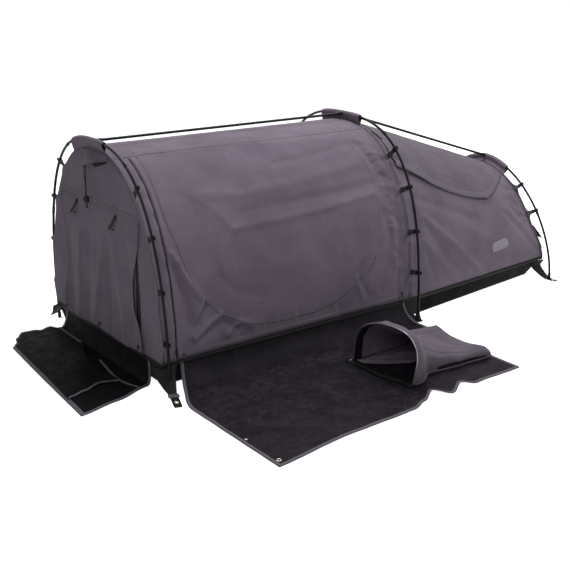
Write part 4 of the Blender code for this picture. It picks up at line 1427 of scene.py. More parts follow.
SHAPE = CanopyShape()
HOOPS = (
    Hoop("head", -1.062, -0.019, 0.468, 0.853, 2.67, (0.200, 0.430, 0.659, 0.853), -1.0695),
    Hoop("mid", 0.162, -0.013, 0.504, 0.837, 2.79, (0.257, 0.472, 0.693, 0.871), 0.157),
    Hoop("foot", 1.072, 0.023, 0.4735, 0.531, 1.74, (0.597, 0.802), 1.0585),
)
HEAD_X = SHAPE.head.x
MID_X = SHAPE.mid.x
FOOT_X = SHAPE.foot.x
CLOTH_HEAD_X = HEAD_X + 0.0035
CLOTH_FOOT_X = FOOT_X - 0.0145
ZIP_HEAD_X = HEAD_X + 0.065
ZIP_MID_X = MID_X - 0.056
ROOF_ANGLE = SHAPE.angle_at(HEAD_X, -0.130)
HEAD_FACE = HEAD_X - 0.0005


def nearest_angle(hoop: Hoop, place: Vector) -> float:
    """Section angle of the canvas that a clip reaches for."""
    return min(spread(0.0, math.pi / 2, 120),
               key=lambda angle: (SHAPE.plain(hoop.canvas_x, angle) - place).length)


def fold_canopy() -> None:
    """Lays the folds that the cloth takes between its seams and clips."""
    add = SHAPE.crease
    add(0.017, 0.0044, (0.002, 38.2), (-0.286, 35.7), (-0.505, 35.0), (-0.703, 34.6))
    add(0.016, 0.0030, (-0.703, 34.6), (-0.771, 28.1), (-0.793, 24.2))
    add(0.016, 0.0018, (-0.703, 34.6), (-0.780, 44.0), (-0.876, 52.3))
    add(0.024, -0.0042, (0.020, 42.6), (-0.267, 41.1), (-0.530, 40.4), (-0.675, 40.0))
    add(0.030, 0.0046, (-0.045, 52.3), (-0.230, 50.5), (-0.406, 48.0), (-0.623, 46.9),
        (-0.808, 49.8))
    add(0.026, -0.0044, (-0.002, 65.3), (-0.239, 60.2), (-0.413, 59.2))
    add(0.034, 0.0038, (-0.978, 77.2), (-0.647, 75.0), (-0.345, 71.8), (-0.032, 70.0))
    add(0.050, -0.0040, (-0.560, 26.0), (-0.250, 24.0))
    add(0.012, 0.0110, (-0.990, 30.5), (-0.953, 22.4), (-0.900, 15.6))
    add(0.016, -0.0170, (-0.980, 25.5), (-0.958, 16.0), (-0.937, 7.5))
    add(0.009, 0.0130, (-0.947, 5.0), (-0.922, 9.7), (-0.889, 14.1))
    add(0.011, -0.0120, (-0.913, 7.6), (-0.893, 10.2), (-0.870, 12.0))
    add(0.009, 0.0110, (-0.814, 9.2), (-0.868, 7.4), (-0.930, 4.0))
    add(0.012, -0.0125, (-0.905, 3.2), (-0.850, 4.9), (-0.799, 6.4), (-0.735, 3.6))
    add(0.009, 0.0090, (-0.790, 3.0), (-0.730, 5.6), (-0.670, 3.8))
    add(0.010, -0.0080, (-0.735, 1.8), (-0.680, 0.6))
    for x, lean in ((-0.79, 0.02), (-0.71, -0.012), (-0.63, 0.014), (-0.55, -0.01), (-0.47, 0.01),
                    (-0.36, -0.012), (-0.27, 0.01)):
        add(0.009, 0.0026, (x, 4.2), (x + lean, 0.8))
        add(0.008, -0.0022, (x + 0.022, 4.2), (x + 0.02 + lean, 0.8))
    add(0.015, -0.0056, (0.040, 30.0), (0.052, 20.0), (0.030, 11.0), (-0.020, 5.5))
    add(0.012, 0.0042, (0.072, 27.0), (0.078, 17.0), (0.062, 7.0))
    add(0.012, -0.0042, (0.098, 32.0), (0.102, 22.0), (0.092, 12.0))
    add(0.016, -0.0040, (-0.640, 12.0), (-0.745, 15.0), (-0.800, 20.0))
    add(0.012, -0.0060, (0.205, 33.5), (0.195, 22.7), (0.180, 11.9), (0.178, 2.5))
    add(0.012, 0.0050, (0.128, 40.0), (0.100, 35.0), (0.088, 29.6), (0.060, 20.0))
    add(0.016, -0.0050, (0.029, 64.2), (0.048, 55.2), (0.062, 46.5), (0.036, 38.2))
    add(0.018, 0.0044, (0.062, 66.0), (0.082, 56.0), (0.094, 47.0))
    add(0.012, -0.0046, (-0.120, 9.0), (-0.100, 6.0), (-0.079, 3.6))
    add(0.011, 0.0042, (-0.150, 10.0), (-0.132, 6.0), (-0.110, 2.6))
    add(0.014, 0.0040, (-0.040, 4.5), (0.020, 8.5), (0.060, 14.0))
    add(0.018, 0.0032, (-0.180, 12.0), (-0.080, 17.5), (-0.040, 25.0))
    add(0.017, 0.0105, (0.255, 27.1), (0.357, 21.3), (0.459, 14.8), (0.629, 0.4))
    add(0.013, -0.0092, (0.267, 25.3), (0.332, 18.0), (0.397, 10.5), (0.511, 2.2))
    add(0.013, 0.0084, (0.249, 18.0), (0.301, 13.7), (0.369, 7.9), (0.456, 1.8))
    add(0.011, -0.0076, (0.258, 14.4), (0.280, 9.4), (0.323, 2.9))
    add(0.024, -0.0056, (0.280, 34.6), (0.391, 32.5), (0.527, 29.9), (0.640, 27.5))
    add(0.024, 0.0042, (0.540, 24.0), (0.720, 16.0), (0.860, 6.0))
    add(0.020, -0.0036, (0.640, 12.0), (0.760, 4.0))
    add(0.016, -0.0044, (0.860, 34.0), (0.960, 22.0), (1.030, 8.0))
    add(0.016, 0.0042, (0.905, 36.0), (1.000, 24.0), (1.050, 12.0))
    for hoop in HOOPS:
        for number, share in enumerate(hoop.clip_shares):
            centre, _ = hoop.seat(share)
            angle = math.degrees(nearest_angle(hoop, centre))
            for way in ((1, -1) if hoop.word == "mid" else (1,) if hoop.word == "head" else (-1,)):
                for fan, out in ((-7.5, 0.0030), (-2.0, -0.0034), (3.5, 0.0036), (9.0, -0.0026)):
                    run = 0.052 if hoop.word == "head" else 0.085 + 0.012 * (number % 2)
                    start = hoop.canvas_x + way * 0.004
                    add(0.0085, out, (start, angle + fan * 0.25), (start + way * run, angle + fan))


@dataclass
class Tub:
    """Black tub with its rim binding, and the foam mattress in it."""

    base_inset: float = 0.018
    foot_inset: float = 0.070
    corner: float = 0.030
    rim_corner: float = 0.010
    wall: float = 0.0025
    tape_thick: float = 0.0008
    wall_shares: tuple[float, ...] = (0.0, 0.12, 0.3, 0.5, 0.7, 0.88, 1.0)
    rim_tape: tuple[Place, ...] = (
        (0.0014, -0.016), (0.0024, -0.008), (0.0016, -0.0006), (-0.0016, -0.0006))
    inner_lip: tuple[Place, ...] = ((0.006, -0.016), (0.018, -0.008), (0.020, 0.024))
    pad_gap: float = 0.015
    pad_low: float = 0.0035
    pad_thick: float = 0.060
    pad_crown: float = 0.012

    def inset(self, x: float) -> float:
        """How far the underside is drawn in from the rim."""
        return lerp(self.base_inset, self.foot_inset, SHAPE.past_mid(x))

    def plan(self, drawn: float) -> list[Place]:
        """Plan of the rim, or of the underside where drawn is one.

        Args:
            drawn: Nothing at the rim, one at the underside.

        Returns:
            Places round it.
        """
        end = -HEAD_X - self.base_inset * drawn
        corner = lerp(self.rim_corner, self.corner, drawn)
        halves = [SHAPE.half_width(x) - self.inset(x) * drawn for x in (HEAD_X, MID_X, FOOT_X)]
        places: list[Place] = []
        for x, y, quarter in ((-end, -halves[0], 2), (end, -halves[2], 3), (end, halves[2], 0),
                              (-end, halves[0], 1)):
            centre = (x - math.copysign(corner, x), y - math.copysign(corner, y))
            turns = spread(math.pi / 2 * quarter, math.pi / 2 * (quarter + 1), 5)
            places += [(centre[0] + dx, centre[1] + dy) for dx, dy in circle(corner, turns)]
            if quarter % 2 == 0:
                places.append((MID_X, math.copysign(halves[1], y)))
        return places

    def ring(self, share: float) -> list[Vector]:
        """Ring of points at a share of the height, with small bulges and creases.

        Args:
            share: Share of the height.

        Returns:
            The ring's points.
        """
        low, high = self.plan(1.0), self.plan(0.0)
        corners = [(Vector((ax, ay, 0.0)), Vector((bx, by, SHAPE.rim_z(bx))))
                   for (ax, ay), (bx, by) in zip(low, high)]
        points = []
        for (low_a, high_a), (low_b, high_b) in zip(corners, corners[1:] + corners[:1]):
            steps = max(int((high_b - high_a).length / 0.03), 1)
            for along in spread(0.0, 1.0, steps)[:-1]:
                point = low_a.lerp(low_b, along).lerp(high_a.lerp(high_b, along), share)
                belly = math.sin(math.pi * share)
                out = Vector((0.0, math.copysign(1.0, point.y), 0.0))
                if abs(point.x) > FOOT_X - self.base_inset * 1.1:
                    out = Vector((math.copysign(1.0, point.x), 0.0, 0.0))
                bulge = 0.0022 * belly * (0.4 + wobble(point.x, point.y + share * 0.1, 0.09, 4.0))
                points.append(point + out * bulge)
        return points

    def build(self) -> None:
        """Makes the tub, its binding and the mattress."""
        rows = [self.ring(share) for share in self.wall_shares]
        shell = cloth("tub_shell", rows, VINYL, self.wall, closed=True, turned=True)
        model = bmesh.new()
        model.from_mesh(shell.data)
        model.verts.ensure_lookup_table()
        model.faces.new(list(reversed(model.verts[:len(rows[0])])))
        bmesh.ops.recalc_face_normals(model, faces=model.faces)
        model.to_mesh(shell.data)
        model.free()
        ride(shell, Body.SHELTER, "tub")
        rim = rows[-1]
        tape = []
        for index, point in enumerate(rim):
            after = rim[(index + 1) % len(rim)]
            out = (after - rim[index - 1]).cross(UP).normalized()
            tape.append([point + out * away + UP * up for away, up in self.rim_tape])
        ride(cloth("tub_rim_binding", tape + tape[:1], WEBBING, self.tape_thick), Body.SHELTER)
        for side in Side:
            lip = []
            for x in spread(ZIP_HEAD_X + 0.004, ZIP_MID_X - 0.004, 40):
                lip.append([Vector((x, side.value * (SHAPE.half_width(x) - inward),
                                    SHAPE.rim_z(x) + up))
                            for inward, up in self.inner_lip])
            ride(cloth("tub_inner_lip_" + side.word, lip, VINYL, self.tape_thick,
                       turned=side is Side.FAR), Body.SHELTER)
        self.build_mattress()

    def build_mattress(self) -> None:
        """Makes the mattress with a piped seam round its middle."""
        mesh = bpy.data.meshes.new("mattress_foam")
        model = bmesh.new()
        bmesh.ops.create_cube(model, size=2)
        bmesh.ops.subdivide_edges(model, edges=model.edges, cuts=15, use_grid_fill=True)
        margin = self.base_inset + self.pad_gap
        for vert in model.verts:
            share_x, share_y, share_z = vert.co
            x = share_x * (FOOT_X - margin)
            narrow = 1 - abs(share_z) ** 4 * 0.012 / 0.44
            y = share_y * (SHAPE.half_width(x) - self.inset(x) - self.pad_gap) * narrow
            z = self.pad_low + self.pad_thick * (share_z + 1) / 2
            if share_z > 0:
                z += self.pad_crown * share_z * (1 - share_x ** 4) * (1 - share_y ** 4)
                z += 0.0016 * wobble(x, y, 0.12, 2.0) * (1 - share_x ** 4)
            vert.co = (x * narrow, y, z)
        model.to_mesh(mesh)
        model.free()
        mesh.polygons.foreach_set("use_smooth", [True] * len(mesh.polygons))
        add_uv(mesh, [(vert.co.x, vert.co.y + vert.co.z) for vert in mesh.vertices])
        pad = link("mattress_foam", mesh, COVER)
        soft = pad.modifiers.new("Softness", "SUBSURF")
        soft.levels = soft.render_levels = 1
        ride(pad, Body.SHELTER, "mattress")
        piping = []
        for side in Side:
            for x in spread(-FOOT_X + margin + 0.02, FOOT_X - margin - 0.02, 24):
                half = SHAPE.half_width(x) - self.inset(x) - self.pad_gap - 0.0005
                piping.append(Vector((x, half * side.value, self.pad_thick)))
            if side is Side.NEAR:
                piping.reverse()
        ride(tube("mattress_piping", piping + piping[:1], 0.0022, BINDING), Body.SHELTER)


@dataclass
class Canopy:
    """Canvas over the hoops: head and foot cloths, end walls, seams, edges and a patch."""

    roof_steps: int = 26
    side_steps: int = 68
    end_steps: int = 5
    door_steps: int = 80
    wall_steps: int = 12
    window_steps: int = 24
    low_steps: int = 3
    high_steps: int = 14
    flange: float = 0.007
    flange_pull: float = 0.012
    window_half: float = 0.240
    window_low: float = 0.160
    window_high: float = 0.550
    zip_in: float = 0.008
    seam_width: float = 0.010
    patch_at: Place = (0.762, math.radians(14.1))
    patch_half: Place = (0.062, 0.0225)
    # Places of the black wedge beside the middle seam, as x and section angle in degrees.
    slot: tuple[Place, ...] = ((0.166, 71.5), (0.176, 69.0), (0.188, 65.7))
    pull_tab: tuple[tuple[float, float, float], ...] = (
        (1.0735, -0.348, 0.250), (1.0765, -0.413, 0.192), (1.0735, -0.366, 0.198))
    skin: Surface = field(default_factory=lambda: Surface(SHAPE.point))

    def angles(self) -> list[float]:
        """Section angles of the canvas grids, from rim to rim.

        Returns:
            The section angles.
        """
        near = spread(0.0, ROOF_ANGLE, self.side_steps)
        roof = spread(ROOF_ANGLE, math.pi - ROOF_ANGLE, self.roof_steps)
        return near + roof[1:] + [math.pi - angle for angle in reversed(near[:-1])]

    def build(self) -> None:
        """Makes the canvas, its end walls, seams, edges and patches."""
        angles = self.angles()
        xs = spread(CLOTH_HEAD_X, ZIP_HEAD_X, self.end_steps)
        xs += spread(ZIP_HEAD_X, ZIP_MID_X, self.door_steps)[1:]
        xs += spread(ZIP_MID_X, MID_X - 0.0003, self.end_steps)[1:]
        rows = self.skin.grid(xs, angles)

        def opened(row: int, column: int) -> bool:
            """Whether a cell lies in a side door's opening."""
            roof = self.side_steps <= column < self.side_steps + self.roof_steps
            return self.end_steps <= row < self.end_steps + self.door_steps and not roof

        sheet("canopy_head_cloth", rows, CANVAS, Body.SHELTER, "canopy_head", "stretched",
              ["head_hoop_tube", "mid_hoop_tube"], skipped=opened, inside=LINING)
        rows = self.skin.grid(spread(MID_X + 0.0018, CLOTH_FOOT_X, 78), angles)
        sheet("canopy_foot_cloth", rows, CANVAS, Body.SHELTER, "canopy_foot", "stretched",
              ["mid_hoop_tube", "foot_hoop_tube"], inside=LINING)
        self.build_seams(angles)
        self.build_walls()
        self.build_patch()

    def build_seams(self, angles: list[float]) -> None:
        """Makes the felled seams over the hoops' lines and along the roof.

        Args:
            angles: Section angles of the canvas grid.
        """
        for name, x in (("middle", MID_X - 0.006), ("head", HEAD_X + 0.011),
                        ("foot", CLOTH_FOOT_X - 0.009)):
            path = [(x, angle) for angle in angles[::2]]
            ride(ribbon("seam_" + name, self.skin, path, self.seam_width, SEAM_TAPE_PAINTED_SHADE, 0.0005,
                        0.0004), Body.SHELTER)
        # Black tape that widens along its path beside the middle seam, near the roof.
        slot = through_places([(x, math.radians(angle)) for x, angle in self.slot], 8)
        ride(ribbon("seam_slot", self.skin, slot, lambda share: 0.004 + 0.013 * share, ZIP_TAPE,
                    0.0046, 0.0004, 2), Body.SHELTER)
        for side in Side:
            for name, angle, low, high, width, lift, crown in (
                    ("roof_seam_", ROOF_ANGLE + 0.012, CLOTH_HEAD_X + 0.002, MID_X - 0.002,
                     self.seam_width, 0.0005, 0.0003),
                    ("roof_backing_", ROOF_ANGLE, ZIP_HEAD_X, ZIP_MID_X, 0.014, -0.0022, 0.0002)):
                path = [(x, side.angle(angle)) for x in spread(low, high, 60)]
                ride(ribbon(name + side.word, self.skin, path, width, CANVAS, lift, crown),
                     Body.SHELTER)
        for hoop, x, way in ((HOOPS[0], CLOTH_HEAD_X, -1), (HOOPS[2], CLOTH_FOOT_X, 1)):
            held = [nearest_angle(hoop, hoop.seat(share)[0]) for share in hoop.clip_shares]
            held += [math.pi - angle for angle in held]
            rows = []
            for angle in spread(0.015, math.pi - 0.015, 240):
                pull = max(bell((angle - at) * 0.66, 0.030) for at in held)
                reach = self.flange + self.flange_pull * pull
                out = SHAPE.plain_normal(x, angle)
                start = SHAPE.point(x, angle)
                lean = ALONG * way * 0.0012
                rows.append([start + out * reach * share + lean for share in (0.0, 0.35, 0.7, 1.0)])
            ride(cloth("edge_flange_" + hoop.word, rows, CANVAS_HEM, 0.0016, turned=way > 0),
                 Body.SHELTER)

    def wall_rows(self, x: float, way: int) -> Rows:
        """Points of an end wall, in columns up from the rim.

        Args:
            x: Place of its outer face.
            way: Direction of its outer face.

        Returns:
            The points of each column.
        """
        station = SHAPE.head if way < 0 else SHAPE.foot
        side = SHAPE.angle_at(station.x, -self.window_half)
        first = 0.03
        angles = spread(first, side, self.wall_steps)
        angles += spread(side, math.pi - side, self.window_steps)[1:]
        angles += spread(math.pi - side, math.pi - first, self.wall_steps)[1:]
        base = SHAPE.rim_z(station.x) + SHAPE.rim_gap
        low_share = (self.window_low - base) / (self.window_high - base)
        shares = spread(0.0, low_share, self.low_steps)
        shares += spread(low_share, 1.0, self.high_steps)[1:]
        rows = []
        for angle in angles:
            top = SHAPE.plain(x, angle) if way < 0 else SHAPE.point(CLOTH_FOOT_X, angle)
            split = lerp(base, top.z, 0.72)
            if way < 0:
                split = min(self.window_high, split)
            column = [lerp(base, split, share) for share in shares]
            column += spread(split, top.z, 10)[1:]
            row = []
            for z in column:
                fade = smooth((top.z - z) / 0.04) * smooth((z - base) / 0.04)
                out = 0.0008 * wobble(top.y, z, 0.10, 9.0 + way)
                if way > 0:
                    out += 0.003 * wobble(top.y * 1.6 + z * 0.7, z * 0.4, 0.07, 12.0)
                row.append(Vector((x + way * abs(out) * fade, top.y, z)))
            rows.append(row)
        return rows

    def build_walls(self) -> None:
        """Makes the head wall round its window, the window's net and the foot wall."""
        rows = self.wall_rows(HEAD_X, -1)
        low, high = self.low_steps, self.low_steps + self.high_steps

        def window(row: int, column: int) -> bool:
            """Whether a cell lies in the window."""
            beside = self.wall_steps <= row < self.wall_steps + self.window_steps
            return beside and low <= column < high

        sheet("head_wall_cloth", rows, CANVAS, Body.SHELTER, "head_wall", "stretched",
              ["canopy_head_cloth"], skipped=window, turned=True, inside=LINING)
        net = [[Vector((HEAD_X + 0.0040, y, z))
                for z in spread(self.window_low - 0.02, self.window_high + 0.02, 20)]
               for y in spread(-self.window_half - 0.02, self.window_half + 0.02, 24)]
        sheet("head_window_net", net, NET, Body.SHELTER, "head_mesh", "stretched",
              ["head_wall_cloth"], 0.0, turned=True)
        half = self.window_half + self.zip_in
        low_z, high_z = self.window_low - self.zip_in, self.window_high + self.zip_in
        corners = [(-half, low_z), (half, low_z), (half, high_z), (-half, high_z)]
        frame_path = []
        for (ay, az), (by, bz) in zip(corners, corners[1:] + corners[:1]):
            frame_path += [(lerp(ay, by, share), lerp(az, bz, share))
                           for share in spread(0.0, 1.0, 24)[:-1]]
        frame_path.append(frame_path[0])
        face = Surface(lambda y, z: Vector((HEAD_X - 0.0001, y, z)), turned=True)
        ride(ribbon("window_zip_tape", face, frame_path, 0.016, ZIP_TAPE, 0.0006, 0.0003, 2),
             Body.SHELTER)
        ride(ribbon("window_zip_coil", face, frame_path, 0.0045, COIL, 0.0009, 0.0008, 2),
             Body.SHELTER)
        rows = self.wall_rows(CLOTH_FOOT_X + 0.0035, 1)
        sheet("foot_wall_cloth", rows, CANVAS, Body.SHELTER, "foot_wall", "stretched",
              ["canopy_foot_cloth"], inside=LINING)
        top, low, inner = (Vector(corner) for corner in self.pull_tab)
        rows = [[top.lerp(low, share), top.lerp(inner, share)] for share in spread(0.06, 1.0, 8)]
        ride(cloth("foot_pull_tab", rows, WEBBING, 0.0014), Body.SHELTER)
        profile = [(0.0, -0.011), (0.0034, -0.010), (0.0034, 0.010), (0.0, 0.011)]
        ride(turned_piece("foot_pull_toggle", profile, Vector((1.0780, -0.404, 0.150)),
                          Vector((0.0, 0.3, 1.0)).normalized(), PLASTIC), Body.SHELTER)

    def build_patch(self) -> None:
        """Makes the bare rubber patch sewn on the foot section."""
        rows = []
        for across in spread(-1.0, 1.0, 24):
            row = []
            tall = self.patch_half[1] * math.sqrt(1 - 0.72 * abs(across) ** 7)
            for up in spread(-1.0, 1.0, 10):
                wide = self.patch_half[0] * across * (1 - 0.03 * up * up)
                place = self.skin.moved(*self.patch_at, Vector((1.0, 0.0, 0.12)), wide)
                place = self.skin.moved(*place, Vector((-0.14, 0.1, 1.0)), tall * up)
                edge = max(abs(across), abs(up))
                row.append(self.skin.at(*place, 0.0024 - 0.0012 * edge ** 6))
            rows.append(row)
        ride(cloth("bare_patch", rows, PATCH, 0.0012), Body.SHELTER)


@dataclass
class SideDoor:
    """Canvas door of one side, which lifts into an awning, with its mesh door and zips."""

    side: Side
    gap: float = 0.0006
    eyelets: tuple[float, ...] = (-0.984, 0.092)
    eyelet_angle: float = 0.016
    corner_at: int = 15
    net_in: float = 0.0130
    seam_places: tuple[Place, ...] = (
        (-0.975, 79.7), (-0.975, 66.7), (-0.981, 53.7), (-0.978, 41.8), (-0.959, 32.5),
        (-0.935, 23.4), (-0.892, 15.5), (-0.833, 10.5), (-0.765, 7.2), (-0.666, 4.2),
        (-0.561, 3.0), (-0.453, 2.9), (-0.341, 3.2), (-0.249, 4.6), (-0.131, 8.7),
        (-0.042, 14.4), (0.008, 22.7), (0.017, 31.7), (0.032, 42.6), (0.020, 53.7),
        (0.005, 68.2), (0.000, 79.7))

    @property
    def skin(self) -> Surface:
        """Shape of the door; the far one mirrors the angle.

        Returns:
            The door's shape.
        """
        if self.side is Side.NEAR:
            return Surface(SHAPE.point)
        return Surface(lambda x, angle: SHAPE.point(x, math.pi - angle), turned=True)

    def build(self) -> None:
        """Makes the door, its hem, seams, eyelets, zips and mesh door."""
        word, body, skin = self.side.word, SIDE_DOOR[self.side], self.skin
        turned = self.side is Side.FAR
        xs = spread(ZIP_HEAD_X + self.gap, ZIP_MID_X - self.gap, 110 if turned else 200)
        angles = spread(0.001, ROOF_ANGLE - 0.0012, 84 if turned else 150)
        rows = skin.grid(xs, angles)
        sheet("side_door_cloth_" + word, rows, CANVAS, body, "side_panel_" + word, "stretched",
              ["canopy_head_cloth"], turned=turned, inside=LINING)
        steps = 5
        path = through_places([(x, math.radians(angle)) for x, angle in self.seam_places], steps)
        turn = self.corner_at * steps
        for part, places, tape in (("head", path[:turn + 1], SEAM_TAPE_PAINTED_SHADE), ("mid", path[turn:], CANVAS)):
            ride(ribbon(f"door_curved_seam_{part}_{word}", skin, places, 0.0075, tape, 0.0004,
                        0.0003), body)
        hem = [(x, 0.016) for x in spread(ZIP_HEAD_X + 0.002, ZIP_MID_X - 0.002, 90)]
        ride(ribbon("door_hem_" + word, skin, hem, 0.018, CANVAS, 0.0005, 0.0003), body)
        for number, x in enumerate(self.eyelets, 1):
            place = skin.at(x, self.eyelet_angle, 0.0020)
            ride(eyelet(f"door_eyelet_{word}_{number}", place, skin.normal(x, self.eyelet_angle),
                        0.0036, 0.0062, PLASTIC), body)
        for end, x, way in (("head", ZIP_HEAD_X, 1), ("mid", ZIP_MID_X, -1)):
            line = [(x, angle) for angle in spread(0.004, ROOF_ANGLE - 0.02, 90)]
            sign = way if turned else -way
            for name, width, tape, *form in (
                    ("tape", self.tape_width, ZIP_TAPE, 0.0005, 0.0002, 2, sign * 0.0024),
                    ("coil", 0.0026, COIL, 0.0010, 0.0008, 4, sign * 0.0012),
                    ("backing", 0.018, LINING, -0.0030, 0.0002, 3, sign * 0.0030)):
                ride(ribbon(f"zip_{name}_{end}_{word}", skin, line, width, tape, *form),
                     Body.SHELTER)
            self.build_slider(f"{end}_{word}", x, skin)
            form = (0.034, CANVAS, -0.0008, 0.0040, 10, sign * 0.0030)
            if end == "head":
                form = (lambda share: 0.018 - 0.002 * share, CANVAS, -0.0004, 0.0052, 8,
                        sign * 0.0122)
            ride(ribbon(f"storm_strip_{end}_{word}", skin, line, *form), Body.SHELTER)
        rows = [[skin.at(x, angle, -self.net_in) for angle in spread(0.004, ROOF_ANGLE - 0.006, 50)]
                for x in spread(ZIP_HEAD_X + 0.002, ZIP_MID_X - 0.002, 70)]
        sheet("mesh_door_net_" + word, rows, NET, body, "mesh_door_" + word, "stretched",
              ["side_door_cloth_" + word], 0.0, turned=turned)

    @staticmethod
    def tape_width(share: float) -> float:
        """Width of a zip's tape that shows, narrower where the storm strip closes over it."""
        return 0.0060 - 0.0040 * smooth((share - 0.30) / 0.25)

    def build_slider(self, words: str, x: float, skin: Surface) -> None:
        """Makes a zip's slider and its hanging puller, down at the rim.

        Args:
            words: End of the pieces' names.
            x: Place of the zip along the swag.
            skin: The door's shape.
        """
        angle = 0.035
        out = skin.normal(x, angle)
        up = (skin.at(x, angle + 0.02) - skin.at(x, angle)).normalized()
        axes = (up.cross(out).normalized(), up, out)
        centre = skin.at(x, angle, 0.0042)
        ride(plate("zip_slider_" + words, rounded_box(0.0085, 0.011, 0.0028), 0.0042, PLASTIC, axes,
                   centre), Body.SHELTER)
        ride(plate("zip_puller_" + words, rounded_box(0.0050, 0.026, 0.0022), 0.0014, PLASTIC, axes,
                   centre + out * 0.0036 - up * 0.010), Body.SHELTER)


@dataclass
class RoofFlap:
    """Rain flap over the foot section's net vent, one each side of the ridge."""

    side: Side
    edge: tuple[Place, ...] = (
        (0.165, 49.1), (0.246, 46.9), (0.388, 42.6), (0.484, 40.4), (0.567, 39.3), (0.675, 39.0),
        (0.752, 39.7), (0.839, 45.1), (0.935, 54.1), (1.030, 64.0))
    start: float = 0.176
    end: float = 1.030
    root: float = 82.0
    hem: float = 0.030
    net_lift: float = 0.0020

    def low_angle(self, x: float) -> float:
        """Section angle of the flap's lower edge.

        Args:
            x: Place along the swag.

        Returns:
            The section angle.
        """
        for (ax, a), (bx, b) in zip(self.edge, self.edge[1:]):
            if x <= bx:
                return math.radians(lerp(a, b, (x - ax) / (bx - ax)))
        return math.radians(self.edge[-1][1])

    def lift(self, x: float, share: float) -> float:
        """How far the flap stands off the canvas, most where its edge gapes.

        Args:
            x: Place along the swag.
            share: Share from the root to the edge.

        Returns:
            Metres off the canvas.
        """
        gape = 0.0085 * bell(x - 0.27, 0.12) + 0.0070 * bell(x - 0.72, 0.06) + 0.0016
        ripple = 0.0012 * wobble(x, share, 0.06, 21.0) * smooth(share * 2)
        return 0.0032 + gape * smooth((share - 0.45) / 0.55) + ripple

    def place(self, x: float, share: float) -> Vector:
        """Point of the flap's outer face."""
        angle = self.side.angle(lerp(math.radians(self.root), self.low_angle(x), share))
        return SHAPE.point(x, angle) + SHAPE.plain_normal(x, angle) * self.lift(x, share)

    def build(self) -> None:
        """Makes the flap, its hem, and the net vent under it."""
        word, body = self.side.word, ROOF_FLAP[self.side]
        skin = Surface(self.place, turned=self.side is Side.NEAR)
        rows = skin.grid(spread(self.start, self.end, 90), spread(0.0, 1.0, 40))
        sheet("roof_flap_cloth_" + word, rows, CANVAS_PAINTED_SHADE, body, "roof_flap_" + word, "draped",
              ["canopy_foot_cloth"], turned=skin.turned, inside=LINING)
        path = [(x, 1.0) for x in spread(self.start + 0.001, self.end - 0.001, 80)]
        up = Vector((0.0, -0.4 * self.side.value, 1.0))
        inner = [skin.moved(*place, up, self.hem / 2) for place in path]
        ride(ribbon("flap_hem_" + word, skin, inner, self.hem, HEM_TAPE, 0.0009, 0.0004, 6), body)
        net = []
        for x in spread(self.start + 0.03, 0.86, 90):
            low = self.low_angle(x) + math.radians(0.6)
            angles = [self.side.angle(angle) for angle in spread(low, low + math.radians(9.0), 8)]
            net.append([SHAPE.point(x, angle) + SHAPE.plain_normal(x, angle) * self.net_lift
                        for angle in angles])
        vent = cloth("flap_vent_net_" + word, net, NET, 0.0, turned=self.side is Side.FAR)
        ride(vent, Body.SHELTER)


@dataclass(frozen=True)
class StrapForm:
    """Straps under one hoop: widths and rise of the gusset, and how far the straps reach."""

    half: float
    climb: float
    fade: float
    skew: float
    near_reach: float
    far_reach: float
    past_hole: float
    lean: float = 0.0


STRAPS = {
    "head": StrapForm(0.050, 0.080, 0.100, -0.022, 0.215, 0.085, 0.042, -0.38),
    "mid": StrapForm(0.052, 0.078, 0.072, 0.0, 0.085, 0.085, 0.042),
    "foot": StrapForm(0.042, 0.076, 0.116, -0.006, 0.165, 0.165, 0.018),
}


def on_side(side: Side, *places: Vector) -> list[Vector]:
    """Places or directions of the near side, mirrored where the side is the far one.

    Args:
        side: The side.
        *places: What is mirrored.

    Returns:
        The places or directions of that side.
    """
    if side is Side.NEAR:
        return list(places)
    return [Vector((place.x, -place.y, place.z)) for place in places]


